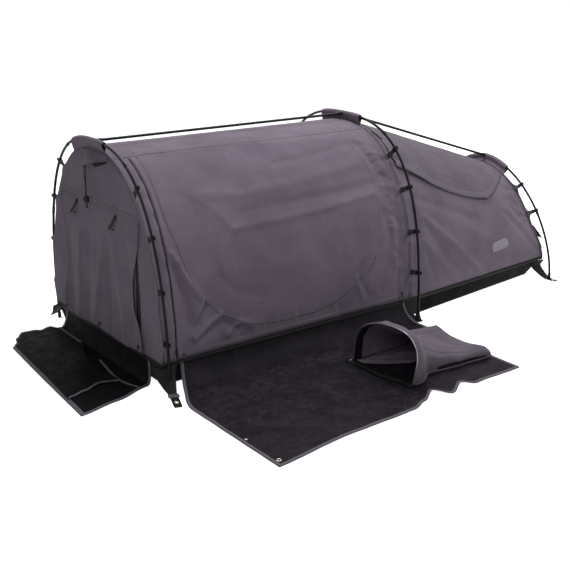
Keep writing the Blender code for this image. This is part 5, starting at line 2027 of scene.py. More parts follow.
@dataclass
class Poles:
    """Three hoops and two ridge poles, with sleeves, clips and ground straps."""

    radius: float = 0.0055
    sleeve_radius: float = 0.0115
    sleeves: tuple[Place, ...] = ((-0.084, 0.172), (-0.107, 0.150), (-0.142, 0.132))
    clip_length: float = 0.014
    clip_wall: float = 0.0026
    bar_out: float = 0.0142
    ridge_gap: float = 0.0122
    joint_shares: Place = (0.58, 0.94)
    joint: tuple[Place, ...] = (
        (0.0053, -0.016), (0.0063, -0.015), (0.0063, 0.015), (0.0053, 0.016))
    shoe: tuple[Place, ...] = (
        (0.0, -0.0004), (0.0062, 0.0), (0.0072, 0.0015), (0.0070, 0.020), (0.0064, 0.024),
        (0.0055, 0.0245))
    cap: tuple[Place, ...] = (
        (0.0, -0.0010), (0.0050, -0.0008), (0.0070, 0.0012), (0.0072, 0.020), (0.0066, 0.024),
        (0.0056, 0.0255))
    strap_half: float = 0.0155
    strap_thick: float = 0.0018
    hole_half: float = 0.0050
    lock_at: float = 0.118

    def build(self) -> None:
        """Makes every pole and what holds it."""
        for hoop, sleeve in zip(HOOPS, self.sleeves):
            points = [hoop.point(angle) for angle in spread(0.0, math.pi, 160)]
            ride(tube(hoop.word + "_hoop_tube", points, self.radius, POLE), Body.SHELTER,
                 hoop.word + "_hoop")
            self.build_joints(hoop)
            self.build_sleeve(hoop, *sleeve)
            for number, share in enumerate(hoop.clip_shares, 1):
                self.build_clips(hoop, share, number)
            self.build_straps(hoop)
        tops = [hoop.point(math.pi / 2) for hoop in HOOPS]
        for word, low, high in (("front", tops[0], tops[1]), ("rear", tops[1], tops[2])):
            along = (high - low).normalized()
            reach = self.ridge_gap / along.x
            start, end = low + along * reach, high - along * reach
            ride(tube("ridge_pole_tube_" + word, [start, start.lerp(end, 0.5), end], self.radius,
                      POLE), Body.SHELTER, "ridge_pole_" + word)
            for number, (place, way) in enumerate(((start, along), (end, -along)), 1):
                ride(turned_piece(f"ridge_cap_{word}_{number}", self.cap, place, way, RUBBER),
                     Body.SHELTER)

    def build_joints(self, hoop: Hoop) -> None:
        """Makes the ferrules where a hoop's lengths join, and its rubber feet.

        Args:
            hoop: The hoop.
        """
        for number, share in enumerate(self.joint_shares, 1):
            for side in Side:
                place, way = on_side(side, *hoop.seat(share))
                ride(turned_piece(f"ferrule_{hoop.word}_{side.word}_{number}", self.joint, place,
                                  way, POLE, closed=True), Body.SHELTER)
        for side in Side:
            place, way = on_side(side, hoop.point(0.0), hoop.seat(0.03)[1])
            ride(turned_piece(f"pole_foot_{hoop.word}_{side.word}", self.shoe, place, way, RUBBER),
                 Body.SHELTER)

    def build_sleeve(self, hoop: Hoop, low: float, high: float) -> None:
        """Makes the canvas sleeve that hangs the ridge from a hoop, between two widths.

        Args:
            hoop: The hoop.
            low: Where it starts, across the swag.
            high: Where it ends.
        """
        rows = []
        for share in spread(0.0, 1.0, 56):
            y = lerp(low, high, share)
            angle = hoop.angle_of(y)
            centre = hoop.point(angle)
            along = (hoop.point(angle + 0.01) - hoop.point(angle - 0.01)).normalized()
            out = ALONG.cross(along).normalized()
            side_way = along.cross(out).normalized()
            canvas_x = min(max(centre.x, CLOTH_HEAD_X), CLOTH_FOOT_X)
            top = SHAPE.plain(canvas_x, SHAPE.angle_at(canvas_x, y)).z
            drop = max(centre.z - top - 0.0006, self.sleeve_radius)
            flare = 1 - 0.16 * bell(min(share, 1 - share), 0.05)
            row = []
            for turn in (2 * math.pi * index / 28 for index in range(28)):
                lift, sway = math.cos(turn), math.sin(turn)
                radius = self.sleeve_radius * flare
                radius += 0.0011 * wobble(y * 2.2, turn * 0.02, 0.035, 30.0 + hoop.foot_x)
                upright = out * radius * lift
                pinch = 1.0
                if lift < 0:
                    upright = Vector(((canvas_x - centre.x) * lift ** 4, 0.0, drop * lift))
                    pinch = 1 - 0.55 * smooth(-lift * 1.15 - 0.1)
                row.append(centre + upright + side_way * sway * radius * pinch)
            rows.append(row)
        sheet(hoop.word + "_sleeve_cloth", rows, CANVAS_HEM, Body.SHELTER, hoop.word + "_sleeve",
              "stretched", [hoop.word + "_hoop_tube"], 0.0012, closed=True, turned=True,
              inside=LINING)
        for number, row in enumerate((rows[1], rows[-2]), 1):
            ride(tube(f"{hoop.word}_sleeve_stitch_{number}", row + row[:1], 0.0008, SEAM_TAPE_PAINTED_SHADE, 2),
                 Body.SHELTER)

    def hook_outline(self) -> list[Place]:
        """Outline of a hook, open towards the outside and squared off towards its bar.

        Returns:
            Places of the outline.
        """
        inner = self.radius + 0.0003
        outer = inner + self.clip_wall
        return [*circle(outer, spread(0.5, 2.45, 10)), (-0.0098, 0.0082), (-0.0080, 0.0060),
                *circle(inner, spread(2.35, -2.35, 22)), (-0.0080, -0.0060), (-0.0098, -0.0082),
                *circle(outer, spread(-2.45, -0.5, 10)), (0.0128, -0.0040), (0.0128, 0.0040)]

    def build_clips(self, hoop: Hoop, share: float, number: int) -> None:
        """Makes a pair of hooks at one height, each on its webbing tab.

        Args:
            hoop: The hoop.
            share: Share of the hoop's height.
            number: Number in the pieces' names.
        """
        centre, along = hoop.seat(share)
        seam = SHAPE.plain(hoop.canvas_x, nearest_angle(hoop, centre))
        way = seam - centre
        way = (way - along * way.dot(along)).normalized()
        for side in Side:
            place, end, *axes = on_side(side, centre, seam, way, along.cross(way), along)
            words = f"{hoop.word}_{side.word}_{number}"
            hook = plate("hook_" + words, self.hook_outline(), self.clip_length, PLASTIC, axes,
                         place, 0.0008)
            if side is Side.FAR:
                hook.data.flip_normals()
            ride(hook, Body.SHELTER, "clip_" + words)
            bar = place + axes[0] * self.bar_out
            ride(plate("hook_bar_" + words, rounded_box(0.0040, 0.0100, 0.0012), 0.020, PLASTIC,
                       axes, bar), Body.SHELTER)
            self.build_tab(words, bar, end, axes[2], axes[1])

    def build_tab(self, words: str, start: Vector, end: Vector, along: Vector, third: Vector
                  ) -> None:
        """Makes the webbing tab from a hook's bar to the canvas seam.

        Args:
            words: End of the piece's name.
            start: Middle of the hook's bar.
            end: Place on the seam.
            along: Direction of its width.
            third: Direction of its thickness.
        """
        rows = []
        for share in spread(0.0, 1.0, 8):
            middle = start.lerp(end, share)
            half = lerp(0.0080, 0.0120, smooth(share))
            swell = 0.0016 * bell(share, 0.25) + 0.0006
            rows.append([middle + along * half * across + third * swell
                         for across in (-1.0, -0.33, 0.33, 1.0)])
        back = [[point - third * (0.0032 * bell(index / 8, 0.25) + 0.0012) for point in row]
                for index, row in enumerate(rows)]
        ride(cloth("clip_tab_" + words, [*reversed(back), *rows], TAB_TAPE, 0.0), Body.SHELTER)

    def build_straps(self, hoop: Hoop) -> None:
        """Makes the two straps under a hoop's feet, each with an eyelet for a peg.

        Args:
            hoop: The hoop.
        """
        form = STRAPS[hoop.word]
        foot = hoop.point(0.0)
        way = Vector((form.lean, -1.0, 0.0)).normalized()
        across = UP.cross(way)
        inset = TUB.inset(foot.x)
        root_y = -(SHAPE.half_width(foot.x) - inset + 0.0006)
        root = Vector((foot.x - way.x / way.y * (foot.y - root_y), root_y, 0.0))
        for side, reach in ((Side.NEAR, form.near_reach), (Side.FAR, form.far_reach)):
            hole_at = reach - form.past_hole
            runs = spread(0.0, hole_at - self.hole_half, 16)
            runs += spread(hole_at + self.hole_half, reach, 4)
            rows = []
            for run in runs:
                out = min(run / form.fade, 1.0)
                half = lerp(form.half, self.strap_half, out)
                if run > reach - 0.010:
                    half *= lerp(1.0, 0.82, (run - reach + 0.010) / 0.010)
                rise = form.climb * (1 - out) ** 1.3 + 0.0028
                rise += 0.0010 * abs(wobble(run, foot.x, 0.03, 40.0))
                slope = inset / SHAPE.rim_z(foot.x) * rise * (1 - smooth(run / 0.05))
                start = root + way * run + Vector((0.0, -slope, rise))
                rows.append(on_side(side, *[
                    start + across * (place + form.skew * (1 - out))
                    for place in (-half, -half * 0.66, -self.hole_half, self.hole_half,
                                  half * 0.66, half)]))
            name = f"strap_{hoop.word}_{side.word}"

            def hole(row: int, column: int) -> bool:
                """Whether a cell is the peg's hole."""
                return row == 16 and column == 2

            sheet("corner_" + name, rows, WEBBING, Body.SHELTER, name, "laid", ["tub_shell"],
                  self.strap_thick, skipped=hole, turned=side is Side.FAR)
            centre, = on_side(side, root + way * hole_at + UP * 0.0026)
            ride(eyelet("peg_eyelet_" + name, centre, UP, 0.0052, 0.0098), Body.SHELTER)
            if reach > self.lock_at * 1.5:
                self.build_ladder_lock(name, root + way * self.lock_at + UP * 0.0030, way, across)

    def build_ladder_lock(self, name: str, centre: Vector, way: Vector, across: Vector) -> None:
        """Makes the ladder lock buckle that tightens the long strap.

        Args:
            name: The strap's name.
            centre: The buckle's middle.
            way: Direction of the strap.
            across: Direction of its width.
        """
        axes = (across, way, UP)
        for number, (run, long) in enumerate(((-0.010, 0.0050), (0.0, 0.0040), (0.010, 0.0070)), 1):
            ride(plate(f"ladder_bar_{name}_{number}", rounded_box(0.040, long, 0.0018), 0.0042,
                       TAB_PLASTIC, axes, centre + way * run), Body.SHELTER)
        for number, shift in enumerate((-0.0185, 0.0185), 1):
            ride(plate(f"ladder_side_{name}_{number}", rounded_box(0.0045, 0.026, 0.0018), 0.0046,
                       TAB_PLASTIC, axes, centre + across * shift), Body.SHELTER)


TUB = Tub()


@dataclass
class HeadEnd:
    """Door flap over the head window, its toggles, and the vent hood with its drawcord."""

    top: float = 0.594
    low: float = 0.096
    half: float = 0.322
    waist: float = 0.14
    toggle_near: float = -0.130
    toggle_far: float = 0.190
    hood_root: float = 0.800
    hood_half: float = 0.108
    hood_reach: float = 0.044
    hood_drop: float = 0.036
    cord_diameter: float = 0.003
    lock_z: float = 0.634
    lock_radius: float = 0.008
    lock_length: float = 0.020
    lock_wall: float = 0.86
    door_off: float = 0.0030
    facing: Place = (0.584, 0.622)
    hooks: tuple[Place, ...] = ((0.03, 0.955), (-0.94, 0.955), (0.94, 0.955))
    hook_radius: float = 0.0052
    toggle_half: float = 0.023
    toggle_drop: float = 0.050
    tape_half: float = 0.0026
    cord_steps: tuple[Place, ...] = (
        (0.0035, 0.0), (0.0048, -0.010), (0.0058, -0.024), (0.0052, -0.040), (0.0034, -0.054),
        (0.0023, -0.066), (0.0023, -0.080), (0.0023, -0.100), (0.0023, -0.120), (0.0023, -0.140),
        (0.0026, -0.148), (0.0036, -0.158))
    cord_end: tuple[Place, ...] = (
        (0.0, -0.0006), (0.0020, -0.0004), (0.0022, 0.0004), (0.0022, 0.0052), (0.0016, 0.0060),
        (0.0, 0.0062))
    barrel: tuple[Place, ...] = (
        (0.0, 0.84), (0.04, 0.94), (0.12, 1.0), (0.30, 1.0), (0.36, 0.93), (0.42, 0.93),
        (0.48, 1.0), (0.88, 1.0), (0.96, 0.94), (1.0, 0.84))
    button: tuple[Place, ...] = (
        (0.0, 0.0073), (0.0030, 0.0071), (0.0042, 0.0060), (0.0045, 0.0048), (0.0045, 0.0004),
        (0.0040, 0.0), (0.0, 0.0))
    folds: tuple[Crease, ...] = (
        Crease(((-0.058, 0.600), (-0.030, 0.460), (-0.005, 0.326), (0.054, 0.130)), 0.024, 0.0085),
        Crease(((0.150, 0.540), (0.153, 0.493), (0.171, 0.246), (0.182, 0.110)), 0.024, 0.0095),
        Crease(((-0.115, 0.520), (-0.186, 0.265), (-0.205, 0.110)), 0.022, 0.0090),
        Crease(((0.300, 0.560), (0.296, 0.385), (0.306, 0.134)), 0.020, 0.0085),
        Crease(((0.235, 0.560), (0.244, 0.368), (0.250, 0.110)), 0.020, -0.0050),
        Crease(((0.060, 0.560), (0.088, 0.323), (0.112, 0.110)), 0.020, -0.0050),
        Crease(((-0.072, 0.480), (-0.090, 0.323), (-0.080, 0.110)), 0.018, -0.0050),
        Crease(((-0.197, 0.589), (-0.245, 0.400), (-0.262, 0.150)), 0.017, -0.0045),
        Crease(((-0.262, 0.540), (-0.276, 0.400), (-0.284, 0.150)), 0.012, 0.0050),
        Crease(((-0.020, 0.560), (0.030, 0.500), (0.120, 0.470)), 0.016, -0.0030),
    )

    def door_place(self, across: float, down: float) -> Vector:
        """Point of the door flap's outer face.

        Args:
            across: From -1 to 1 across the door.
            down: Share from its top to its hem.

        Returns:
            The point.
        """
        waist = 1 - self.waist * math.sin(math.pi * down) ** 2
        edge = 0.010 * bell(down - 0.62, 0.14) if across < 0 else 0.0
        y = across * (self.half * waist) + edge * abs(across) ** 4
        z = lerp(self.top, self.low, down)
        hang = smooth(down * 1.5)
        out = 0.0062 + sum(fold.at(y, z) for fold in self.folds)
        out = max(out, 0.0012) * hang + 0.0034 * smooth((down - 0.80) / 0.20)
        out += 0.0008 * wobble(y, z, 0.035, 51.0) + 0.0015 * smooth(down * 8)
        sag = 0.008 * smooth((down - 0.6) / 0.4) * math.sin(across * 6.0 + 1.0)
        return Vector((HEAD_FACE - self.door_off - max(out, 0.0), y, z + sag * 0.5))

    def build(self) -> None:
        """Makes the door flap and the hood with all that hangs on them."""
        skin = Surface(self.door_place)
        rows = skin.grid(spread(-1.0, 1.0, 96), spread(0.0, 1.0, 70))
        sheet("head_door_cloth", rows, CANVAS, Body.DOOR_FLAP, "head_door", "hung",
              ["head_wall_cloth"], inside=LINING)
        low = [(across, 0.975) for across in spread(-0.985, 0.985, 70)]
        ride(ribbon("door_low_hem", skin, low, 0.020, CANVAS, 0.0006, 0.0004), Body.DOOR_FLAP)
        for side, across in (("near", -0.975), ("far", 0.975)):
            edge = [(across, down) for down in spread(0.01, 0.99, 60)]
            ride(ribbon("door_edge_tape_" + side, skin, edge, 0.012, CANVAS, 0.0006, 0.0003),
                 Body.DOOR_FLAP)
        self.build_facing()
        self.build_slits()
        self.build_hooks(skin)
        for side, y in (("near", self.toggle_near), ("far", self.toggle_far)):
            self.build_toggle(side, y)
        self.build_hood()
        self.build_cord()
        self.build_lock()

    def build_facing(self) -> None:
        """Makes the canvas facing on the wall that the door is sewn under."""
        low, high = self.facing
        skin = Surface(lambda y, z: Vector((
            HEAD_X - 0.0066 * smooth((high - z) / 0.030) - 0.0004, y, z)), turned=True)
        rows = [[skin.at(y, z + 0.014 * (y + 0.3)) for z in spread(low, high, 8)]
                for y in spread(-0.326, 0.326, 40)]
        ride(cloth("door_facing", rows, CANVAS, 0.0010, turned=True), Body.SHELTER)

    def build_slits(self) -> None:
        """Makes the black zip tapes beside the drawn-in edges of the door, widened in their middle
        into painted shade of the open slit there.
        """
        face = Surface(lambda y, z: Vector((HEAD_X - 0.0004, y, z)), turned=True)
        for side in Side:
            sign = side.value
            path = [(sign * (0.287 + 0.006 * share), lerp(0.098, self.facing[0], share))
                    for share in spread(0.0, 1.0, 40)]
            # The tape widens in its middle into painted shade of the open slit beside the door's edge.
            ride(ribbon("door_zip_tape_" + side.word, face, path,
                        lambda share: 0.014 + 0.016 * bell(share - 0.35, 0.20), ZIP_TAPE, 0.0007,
                        0.0003, 2), Body.SHELTER)
            ride(ribbon("door_zip_coil_" + side.word, face, path, 0.0048, COIL, 0.0012, 0.0010, 4),
                 Body.SHELTER)

    def build_hooks(self, skin: Surface) -> None:
        """Makes the small hooks at the door's lower hem.

        Args:
            skin: The door's shape.
        """
        for number, (across, down) in enumerate(self.hooks, 1):
            centre = skin.at(across, down, 0.0035)
            out = skin.normal(across, down)
            side_way = UP.cross(out).normalized()
            axes = (side_way, out.cross(side_way), out)
            ride(plate(f"hem_hook_{number}", rounded_box(0.014, 0.010, 0.003), 0.0030, PLASTIC,
                       axes, centre), Body.DOOR_FLAP)
            bend = [centre + side_way * x + out * 0.003 + axes[1] * (y - 0.008)
                    for x, y in circle(self.hook_radius, spread(0.2, math.pi * 1.45, 14))]
            ride(tube(f"hem_hook_bend_{number}", bend, 0.0013, PLASTIC), Body.DOOR_FLAP)

    def build_toggle(self, side: str, y: float) -> None:
        """Makes a toggle bar that hangs on a loop of tape from the door's top seam.

        Args:
            side: Word of the side in names.
            y: Place across the swag.
        """
        half = self.toggle_half
        tilt = Vector((0.0, 1.0, 0.10)).normalized()
        centre = Vector((HEAD_FACE - 0.016, y, self.top - self.toggle_drop))
        profile = [(0.0, -half), (0.0026, -half + 0.0006), (0.0038, -half + 0.004),
                   (0.0030, -0.006), (0.0024, 0.0), (0.0030, 0.006), (0.0038, half - 0.004),
                   (0.0026, half - 0.0006), (0.0, half)]
        ride(turned_piece("toggle_bar_" + side, profile, centre, tilt, PLASTIC, 16),
             Body.DOOR_FLAP, "toggle_" + side)
        top = Vector((HEAD_FACE - 0.0050, y - 0.030, self.top + 0.004))
        rows = []
        for share in spread(0.0, 1.0, 14):
            swing = math.sin(math.pi * share)
            point = top.lerp(centre, swing)
            point.y += 0.012 * (share - 0.5) * (1 - swing * 0.7)
            point.x -= 0.0046 * swing + 0.001
            rows.append([point + (UP + ACROSS) * self.tape_half * way for way in (-1.0, 0.0, 1.0)])
        ride(cloth("toggle_loop_" + side, rows, WEBBING, 0.0011, middle=True), Body.DOOR_FLAP)

    def hood_place(self, share: float, out: float) -> Vector:
        """Point of the hood's upper face, from its root to its brim.

        Args:
            share: From -1 to 1 across the hood.
            out: Share from its root to its brim.

        Returns:
            The point.
        """
        reach = (1 - abs(share)) ** 1.1 if abs(share) < 1 else 0.0
        x = HEAD_FACE - (self.hood_reach * reach + 0.003) * out - 0.0028
        root = self.hood_root + 0.017 - 0.008 * share * share
        z = root - (self.hood_drop + 0.017) * out * lerp(0.30, 1.0, reach)
        z += 0.0035 * math.sin(math.pi * out) * reach
        z -= 0.0026 * bell(share - 0.42, 0.16) * out - 0.0018 * bell(share + 0.45, 0.14) * out
        z += 0.0009 * wobble(share * 0.11, out * 0.05, 0.02, 61.0) * out
        return Vector((x, share * self.hood_half, z))

    def build_hood(self) -> None:
        """Makes the hood's brim, its edge tape and the dark lining under it."""
        skin = Surface(self.hood_place)
        rows = skin.grid(spread(-1.0, 1.0, 60), spread(0.0, 1.0, 20))
        sheet("hood_brim", rows, CANVAS, Body.HOOD, "vent_hood", "stretched", ["head_wall_cloth"],
              inside=LINING)
        for name, out, end in (("hood_edge_tape", 0.93, 0.96), ("hood_root_seam", 0.06, 0.97)):
            path = [(share, out) for share in spread(-end, end, 50)]
            ride(ribbon(name, skin, path, 0.008, SEAM_TAPE_PAINTED_SHADE, 0.0006, 0.0005), Body.HOOD)
        vent = []
        for share in spread(-0.92, 0.92, 30):
            high = self.hood_root + 0.010 - 0.008 * share * share
            reach = 1 - abs(share)
            vent.append([Vector((HEAD_X - 0.0012, share * self.hood_half, z))
                         for z in spread(high - 0.012 - 0.046 * reach ** 0.7, high, 6)])
        ride(cloth("hood_vent_net", vent, NET, 0.0, turned=True), Body.SHELTER)

    def cord_route(self, sign: int) -> list[Vector]:
        """Route of a leg of the drawcord, from the hood's tip to its tail.

        Args:
            sign: Side of the leg, -1 or 1.

        Returns:
            Points of the route.
        """
        slope = self.hood_drop / (self.hood_reach + 0.003)
        under = self.hood_root - slope * (self.hood_reach + self.cord_diameter / 2 - 0.003)
        tip_z = under - 0.003 * math.sqrt(1 + slope * slope) - 0.0016
        tip_x = HEAD_FACE - self.hood_reach
        return [Vector((tip_x, sign * y, tip_z + z)) for y, z in self.cord_steps]

    def build_cord(self) -> None:
        """Makes the two legs of the drawcord and the tab they run through at the tip."""
        for side in Side:
            points = through(self.cord_route(side.value), 3)
            leg = ride(tube("drawcord_leg_" + side.word, points, self.cord_diameter / 2, BRAID),
                       Body.HOOD, "drawcord_" + side.word)
            cap = ride(turned_piece("cord_end_" + side.word, self.cord_end,
                                    points[-1] + UP * 0.003, -UP, BRAID, 12), Body.HOOD)
        tip = self.cord_route(1)[0]
        rows = []
        for x, z in circle(0.0036, spread(0.0, 2 * math.pi, 16)):
            rows.append([tip + Vector((x, y - tip.y, z + 0.0016)) for y in (-0.0070, 0.0, 0.0070)])
        ride(cloth("cord_tab", rows, WEBBING, 0.0010), Body.HOOD)

    def build_lock(self) -> None:
        """Makes the sprung cord lock: a slotted barrel with a push button."""
        middle = Vector((HEAD_FACE - self.hood_reach, 0.0, self.lock_z))
        turns = spread(0.0, 2 * math.pi, 40)[:-1]
        outline = [(x * (1 + 0.10 * math.cos(2 * turn)), y)
                   for turn, (x, y) in zip(turns, circle(self.lock_radius, turns))]
        slot = self.matched(rounded_box(0.0046, 0.0092, 0.0020, 5), outline)
        rows = [[middle + Vector((x * scale, y * scale, (share - 0.5) * self.lock_length))
                 for x, y in outline] for share, scale in self.barrel]
        ride(cloth("cord_lock_barrel", rows, PLASTIC, 0.0022, closed=True), Body.LOCK, "cord_lock")
        for number, way in enumerate((-1, 1), 1):
            rings = []
            for share in (0.0, 1.0):
                rings.append([middle + Vector((
                    lerp(sx, x * self.lock_wall, share), lerp(sy, y * self.lock_wall, share),
                    way * 0.0098)) for (x, y), (sx, sy) in zip(outline, slot)])
            ride(cloth(f"cord_lock_face_{number}", rings, PLASTIC, 0.0012, closed=True,
                       turned=way < 0), Body.LOCK)
        ride(turned_piece("cord_button_cap", self.button, middle - ALONG * 0.0068, -ALONG, PLASTIC),
             Body.BUTTON, "cord_button")

    @staticmethod
    def matched(slot: list[Place], outline: list[Place]) -> list[Place]:
        """Points of the slot that lie the same way from its middle as those of an outline.

        Args:
            slot: The slot's outline.
            outline: The outline round it.

        Returns:
            A slot's place for each of the outline.
        """
        return [min(slot, key=lambda place: abs(math.remainder(
            math.atan2(place[1], place[0]) - math.atan2(y, x), 2 * math.pi))) for x, y in outline]


@dataclass
class SideMat:
    """Ground mat on the near side, with the boot hood that stands on it."""

    x: float = -1.093
    length: float = 1.210
    depth: float = 0.740
    slant: float = 0.088
    notch: float = 0.095
    drape: float = 0.110
    drape_reach: float = 0.080
    ripple: float = 0.009
    front_reach: float = 0.060
    thick: float = 0.0020
    binding_width: float = 0.0115
    top_z: float = 0.089
    drape_share: float = 0.16
    reaches: tuple[Place, ...] = (
        (0.0, 0.0), (0.24, 0.25), (0.52, 0.10), (0.58, 0.45), (0.64, 1.0), (0.69, 0.15),
        (0.76, 0.75), (0.80, 0.20), (1.0, 0.0))
    creases: tuple[Crease, ...] = (
        Crease(((-1.062, -0.754), (-1.039, -0.945), (-1.018, -1.144)), 0.006, 0.0030),
        Crease(((-0.960, -0.700), (-0.800, -0.880), (-0.720, -1.120)), 0.009, 0.0026),
        Crease(((-0.640, -0.640), (-0.700, -0.860), (-0.640, -1.100)), 0.008, 0.0022),
        Crease(((-0.520, -0.620), (-0.440, -0.700), (-0.300, -0.690)), 0.008, 0.0024),
        Crease(((-0.330, -0.640), (-0.100, -0.660), (0.090, -0.640)), 0.009, 0.0024),
        Crease(((-1.040, -0.860), (-0.860, -0.930), (-0.600, -0.900)), 0.008, 0.0016),
        Crease(((-0.430, -0.980), (-0.350, -1.040), (-0.300, -1.110)), 0.012, 0.0040),
        Crease(((-0.215, -1.000), (-0.190, -1.060), (-0.180, -1.100)), 0.010, 0.0038),
        Crease(((-0.020, -1.010), (0.020, -1.060), (0.060, -1.090)), 0.010, 0.0026),
    )
    eyelets: tuple[tuple[str, float, float, float, float], ...] = (
        ("mat_corner_eyelet", -1.072, -1.150, 0.0052, 0.0098),
        ("mat_edge_rivet", -1.074, -0.971, 0.0008, 0.0060),
        ("mat_back_eyelet_1", -0.364, -0.673, 0.0040, 0.0080),
    )

    def root_y(self, x: float) -> float:
        """Place of the mat's outer face where it is sewn to the tub."""
        drawn = 0.018 * (1 - self.top_z / 0.092)
        return -(SHAPE.half_width(x) - drawn + 0.0004 + 0.0025)

    def point(self, share_x: float, share: float) -> Vector:
        """Point of the mat's upper face, from its sewn edge to its front edge.

        Args:
            share_x: Share along the mat, from the head end.
            share: Share from its sewn edge outwards.

        Returns:
            The point.
        """
        drape = min(share / self.drape_share, 1.0)
        share_y = max((share - self.drape_share) / (1 - self.drape_share), 0.0)
        front = share_y * (1 - self.drape / self.depth) + self.drape / self.depth * drape
        notch = self.notch * (1 - smooth(front / 0.35))
        splay = between(((0.0, 0.002), (0.16, 0.022), (1.0, 0.0)), share) * share_x ** 8
        x = lerp(self.x + notch, self.x + self.length + splay, share_x)
        start_y = self.root_y(x)
        turn = math.pi / 2 * drape
        y = start_y - self.drape_reach * (1 - math.cos(turn))
        z = lerp(self.top_z, 0.0025, math.sin(turn))
        ripple = between(self.reaches, share_x)
        far = start_y - self.depth + self.slant * share_x + self.front_reach * ripple * share_y ** 2
        y = lerp(y, far, share_y)
        z += self.ripple * ripple * smooth((share_y - 0.90) / 0.10)
        flat = smooth(share_y * 5)
        rise = 0.0010 + 0.0013 * wobble(x, y, 0.075, 70.0) + 0.0007 * wobble(x, y * 0.5, 0.03, 72.0)
        rise += sum(fold.at(x, y) for fold in self.creases)
        z += max(rise, 0.0) * flat * (1 - 0.8 * self.under_boot(x, y))
        if share_y == 0.0:
            y -= 0.0016 * (0.5 + wobble(x, z, 0.06, 74.0)) * math.sin(turn * 2)
        return Vector((x, y, z))

    @staticmethod
    def under_boot(x: float, y: float) -> float:
        """One under the boot hood and nothing away from it.

        Args:
            x: Place along the swag.
            y: Place across it.

        Returns:
            The share.
        """
        along = smooth((x + 0.42) / 0.04) * smooth((0.14 - x) / 0.04)
        across = smooth((y + 1.02) / 0.04) * smooth((-0.62 - y) / 0.04)
        return along * across

    def build(self) -> None:
        """Makes the mat, its bindings and its corner fastenings, then the boot hood."""
        skin = Surface(self.point, step=0.0008)
        shares = spread(0.0, self.drape_share, 14)
        shares += spread(self.drape_share, 1.0, 76)[1:]
        rows = skin.grid(spread(0.0, 1.0, 130), shares)
        sheet("side_mat_cloth", rows, MAT_CLOTH, Body.GROUND_MAT, "side_mat", "laid",
              ["tub_shell"], self.thick, turned=True)
        skin = Surface(self.point, turned=True, step=0.0008)
        down = spread(0.004, 0.999, 70)
        front = [(share, 1.0) for share in spread(0.0, 1.0, 110)]
        for name, path, way in (("left", [(0.0, share) for share in down], ALONG),
                                ("front", front, ACROSS),
                                ("right", [(1.0, share) for share in down], -ALONG)):
            ride(binding("mat_binding_" + name, skin, path, way, self.binding_width, self.thick),
                 Body.GROUND_MAT)
        top = [(share, 0.010) for share in spread(0.002, 0.998, 110)]
        ride(ribbon("mat_top_binding", skin, top, 0.011, WEBBING, 0.0009, 0.0006), Body.GROUND_MAT)
        for name, x, y, hole, rim in self.eyelets:
            ride(eyelet(name, Vector((x, y, 0.0056)), UP, hole, rim), Body.GROUND_MAT)
        BootHood().build()


